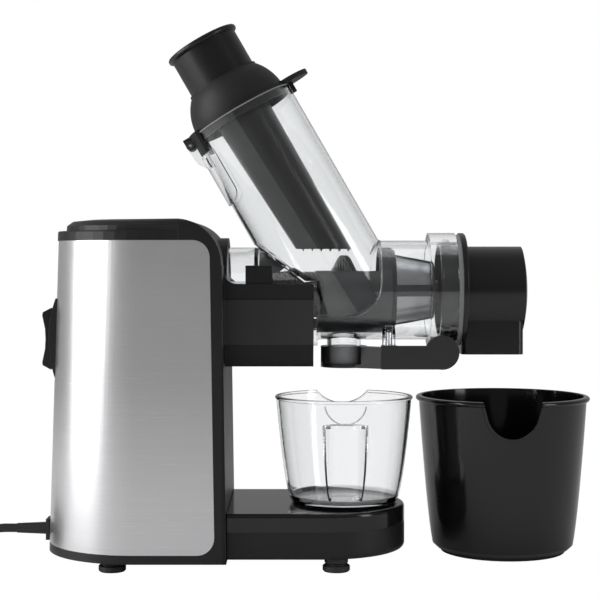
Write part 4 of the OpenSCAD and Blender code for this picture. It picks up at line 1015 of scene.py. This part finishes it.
@dataclass
class MainsCord:
    """The mains cord: out of the back, down to the floor and into a coil of round turns.

    The drop is a list of X and Z. Inward, climb and outward are the turns over which the coil
    steps to its inner ring, up a layer and back to its outer ring.
    """

    shop: Workshop
    diameter: float = 6.9
    exit_x: float = -202.0
    exit_z: float = 24.2
    drop: Sequence[Span] = (
        (-208.0, 24.2), (-216.0, 24.2), (-226.0, 24.2), (-236.0, 24.2), (-244.0, 23.6),
        (-251.0, 21.6), (-257.0, 18.4), (-263.0, 13.8), (-269.0, 9.4), (-275.0, 5.8), (-281.0, 3.9),
        (-286.0, 3.45), (-290.0, 3.45), (-299.0, 3.45), (-308.0, 3.45))
    coil_x: float = -318.0
    outer_r: float = 44.95
    inward: Span = (0.84, 0.99)
    climb: Span = (1.68, 1.84)
    outward: Span = (2.53, 2.68)
    turns: float = 3.25
    turn_steps: int = 36
    tail: float = 32.0
    tail_steps: int = 4

    def coil_point(self, turn: float) -> Vector:
        """Give the cord's middle after a number of turns.

        Args:
            turn: Turns made so far, from 0 at the near side.

        Returns:
            The point.
        """
        low, high = 0.5 * self.diameter, 1.5 * self.diameter
        radius = self.outer_r - self.diameter * (ease(turn, self.inward) - ease(turn, self.outward))
        height = low + (high - low) * ease(turn, self.climb)
        angle = -TURN / 4 - TURN * turn
        return self.shop.at(self.coil_x + radius * math.cos(angle),
                            self.outer_r + radius * math.sin(angle), height)

    def route(self) -> list[Vector]:
        """Lay the cord out.

        Returns:
            Every point that it runs through, from the housing to the plug.
        """
        points = [self.shop.at(self.exit_x, 0.0, self.exit_z)]
        points += [self.shop.at(x, 0.0, z) for x, z in self.drop]
        count = round(self.turns * self.turn_steps)
        points += [self.coil_point(self.turns * k / count) for k in range(count + 1)]
        end, tail = points[-1], Vector((0.0, self.tail * MM, 0.0))
        points += [end + tail * k / self.tail_steps for k in range(1, self.tail_steps + 1)]
        return points

    def plug(self) -> bpy.types.Object:
        """Put the plug on the end of the cord's tail."""
        end = (self.coil_x - self.outer_r, self.outer_r + self.tail, 1.5 * self.diameter)
        return Plug(self.shop, self.shop.at(*end), self.diameter / 2).build()

    def build(self) -> None:
        """Lay the cord and put its plug on."""
        points = self.route()
        curve = bpy.data.curves.new("mains_cord", "CURVE")
        curve.dimensions = "3D"
        curve.bevel_depth = self.diameter * MM / 2
        curve.bevel_resolution = 5
        curve.use_fill_caps = True
        spline = curve.splines.new("POLY")
        spline.points.add(len(points) - 1)
        for spot, where in zip(spline.points, points):
            spot.co = (*where, 1.0)
        cord = stand("mains_cord", curve)
        Look.CORD.dress(cord)
        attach(cord, "root")
        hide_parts("power_cord", "cord_coil")
        length = sum((b - a).length for a, b in zip(points, points[1:]))
        LOG.info("mains_cord rides on root, %.3f m long", length)
        self.plug()


@dataclass
class Tower:
    """Motor tower, base and everything fixed to them."""

    shop: Workshop
    spring_wire: float = 0.5
    spring_turns: int = 5
    spring_steps: int = 16
    spring_travel: float = 4.0

    def spring(self) -> None:
        """Coil the release button's spring at its full length; the coil does not shorten with the
        button.
        """
        low, high = (Vector(corner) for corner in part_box("button_spring"))
        wire = self.spring_wire * MM
        centre = (low + high) / 2
        radius = (high.x - low.x) / 2 - wire
        rise = high.z - low.z - 2 * wire
        count = self.spring_steps * self.spring_turns
        path = [Vector((centre.x + radius * math.cos(TURN * k / self.spring_steps),
                        centre.y + radius * math.sin(TURN * k / self.spring_steps),
                        low.z + wire + rise * k / count)) for k in range(count + 1)]
        coil = self.shop.bead("return_spring", path, wire, Look.FASTENER, "root", "fastener")
        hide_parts("button_spring")
        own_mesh(coil)

    def build(self) -> None:
        """Dress the tower's nodes and coil the spring."""
        self.shop.dress({
            "front_frame": Look.HOUSING_BLACK, "steel_wrap": Look.STEEL,
            "top_cap": Look.SATIN_BLACK, "base_pan": Look.SATIN_BLACK,
            "platform_cover": Look.GLOSS_BLACK, "feet": Look.FOOT_RUBBER,
            "base_screws": Look.FASTENER, "switch_bezel": Look.SATIN_BLACK,
            "rocker": Look.CAP_BLACK, "cord_grommet": Look.CORD,
            "release_button": Look.SATIN_BLACK})
        self.spring()


@dataclass
class Drive:
    """Motor, gears and electronics inside the tower."""

    shop: Workshop

    def build(self) -> None:
        """Dress the drive's nodes."""
        self.shop.dress({
            "motor_can": Look.ZINC, "motor_stator": Look.COPPER, "motor_cradle": Look.INNER_BLACK,
            "motor_rotor": Look.GEAR_STEEL, "gearbox_back": Look.ZINC, "gearbox_cover": Look.ZINC,
            "idler_pin": Look.FASTENER, "idler_gear": Look.GEAR_PLASTIC,
            "output_gear": Look.GEAR_STEEL, "output_bearing": Look.GEAR_STEEL,
            "shaft_seal": Look.SEAL_RUBBER, "control_board": Look.BOARD})


@dataclass
class Juicing:
    """Bowl, chute, screen, auger, lid, pusher, outlet cap and drip lever."""

    shop: Workshop
    axis_z: float = 214.4
    barrel_r: float = 39.5
    chute_x: float = 35.0
    chute_r: float = 43.8
    chute_lean: float = 30.0
    hopper_x0: float = 13.0
    hopper_x1: float = 63.3
    hopper_z0: float = 194.0
    corner_r: float = 26.0
    seam_r: float = 0.7
    run_steps: int = 5
    corner_steps: int = 8
    over_steps: int = 20

    def hopper_side(self) -> list[Point]:
        """Follow the hopper's edge along one side of the barrel and round its corner.

        Returns:
            Points as X, distance from the middle plane, and Z.
        """
        corner_x, corner_z = self.hopper_x1 - self.corner_r, self.hopper_z0 + self.corner_r
        side = [(self.hopper_x0 + (corner_x - self.hopper_x0) * k / self.run_steps, self.hopper_z0)
                for k in range(self.run_steps)]
        for k in range(self.corner_steps + 1):
            angle = math.radians(-90.0 + 90.0 * k / self.corner_steps)
            side.append((corner_x + self.corner_r * math.cos(angle),
                         corner_z + self.corner_r * math.sin(angle)))
        lean = math.radians(self.chute_lean)
        near = []
        for x, z in side:
            across = (x - self.chute_x) * math.cos(lean) + (z - self.axis_z) * math.sin(lean)
            near.append((x, max(math.sqrt(self.chute_r ** 2 - across ** 2),
                                math.sqrt(self.barrel_r ** 2 - (z - self.axis_z) ** 2)), z))
        return near

    def hopper_seam(self) -> list[Vector]:
        """Follow the hopper's edge up one side of the barrel, over it and down the other.

        Returns:
            The seam's points.
        """
        near = self.hopper_side()
        start = math.asin((self.hopper_z0 + self.corner_r - self.axis_z) / self.barrel_r)
        over = []
        for k in range(1, self.over_steps):
            angle = start + (math.pi - 2 * start) * k / self.over_steps
            over.append(self.shop.at(self.hopper_x1, -self.barrel_r * math.cos(angle),
                                     self.axis_z + self.barrel_r * math.sin(angle)))
        return ([self.shop.at(x, -y, z) for x, y, z in near] + over
                + [self.shop.at(x, y, z) for x, y, z in reversed(near)])

    def build(self) -> None:
        """Dress the juicing pieces and run the moulding's seam round the hopper."""
        self.shop.dress({
            "bowl": Look.BOWL_CLEAR, "bowl_seal": Look.SEAL_RUBBER,
            "screen_frame": Look.SCREEN_GREY, "screen_mesh": Look.MESH_STEEL,
            "auger_bush": Look.GEAR_PLASTIC, "lever_pin": Look.FASTENER,
            "auger": Look.AUGER_GREY, "lid": Look.DOME_BLACK, "lid_gasket": Look.SILICONE,
            "lid_pin": Look.FASTENER, "pusher": Look.PUSHER_BLACK, "end_cap": Look.CAP_BLACK,
            "cap_gasket": Look.SILICONE, "drip_lever": Look.LEVER_BLACK,
            "drip_stopper": Look.SILICONE})
        self.shop.bead("hopper_seam", self.hopper_seam(), self.seam_r * MM, Look.BOWL_CLEAR,
                       "juicing_bowl", "clear")


@dataclass
class Vessels:
    """Juice cup and pulp container."""

    shop: Workshop
    cup_x: float = 35.0
    cup_z: float = 45.8
    cup_h: float = 84.5
    base_r: float = 41.0
    rim_r: float = 54.2
    bulge: float = 0.555
    scoop_r: float = 16.0
    scoop_drop: float = 2.0
    scoop_from: float = 8.0
    scoop_bead: float = 0.5
    notch_r: float = 27.0
    notch_h: float = 11.3
    notch_half: float = 53.0
    notch_inset: float = 1.2
    notch_bead: float = 0.9
    steps: int = 24

    def on_cup(self, x: float, z: float, side: float, inset: float = 0.0) -> Vector:
        """Give a point on the cup's wall.

        Args:
            x: Place along the machine from the cup's middle.
            z: Height over the cup's foot.
            side: -1 for the near side, 1 for the far one.
            inset: Depth below the outer face.

        Returns:
            The point.
        """
        radius = self.base_r + (self.rim_r - self.base_r) * (z / self.cup_h) ** self.bulge - inset
        return self.shop.at(self.cup_x + x, side * math.sqrt(radius ** 2 - x ** 2), self.cup_z + z)

    def build(self) -> None:
        """Dress the cup and the container, and bead the edges of the cup's scoop and notch."""
        self.shop.dress({"juice_cup": Look.CUP_CLEAR, "pulp_container": Look.GLOSS_BLACK})
        scoop_z = self.cup_h - self.scoop_drop
        notch_z = self.cup_h - self.notch_h
        scoop, notch = [], []
        for k in range(self.steps + 1):
            turn = math.radians(self.scoop_from + 2 * (90.0 - self.scoop_from) * k / self.steps)
            scoop.append(self.on_cup(-self.scoop_r * math.cos(turn),
                                     scoop_z - self.scoop_r * math.sin(turn), -1.0))
            turn = math.radians(-self.notch_half + 2 * self.notch_half * k / self.steps)
            notch.append(self.on_cup(self.notch_r * math.sin(turn),
                                     notch_z + self.notch_r * (1.0 - math.cos(turn)), 1.0,
                                     self.notch_inset))
        for name, path, radius in (("scoop_edge", scoop, self.scoop_bead),
                                   ("notch_edge", notch, self.notch_bead)):
            self.shop.bead(name, path, radius * MM, Look.CUP_CLEAR, "cup", "clear_cup")


def main() -> None:
    """Build the studio and every sub-assembly."""
    logging.basicConfig(level=logging.INFO, format="%(name)s: %(message)s")
    for left in list(bpy.data.objects):
        bpy.data.objects.remove(left)
    shop = Workshop()
    Studio(shop).build()
    for assembly in (MainsCord(shop), Tower(shop), Drive(shop), Juicing(shop), Vessels(shop)):
        assembly.build()
        LOG.info("%s is done", type(assembly).__name__)


if __name__ == "__main__":
    main()
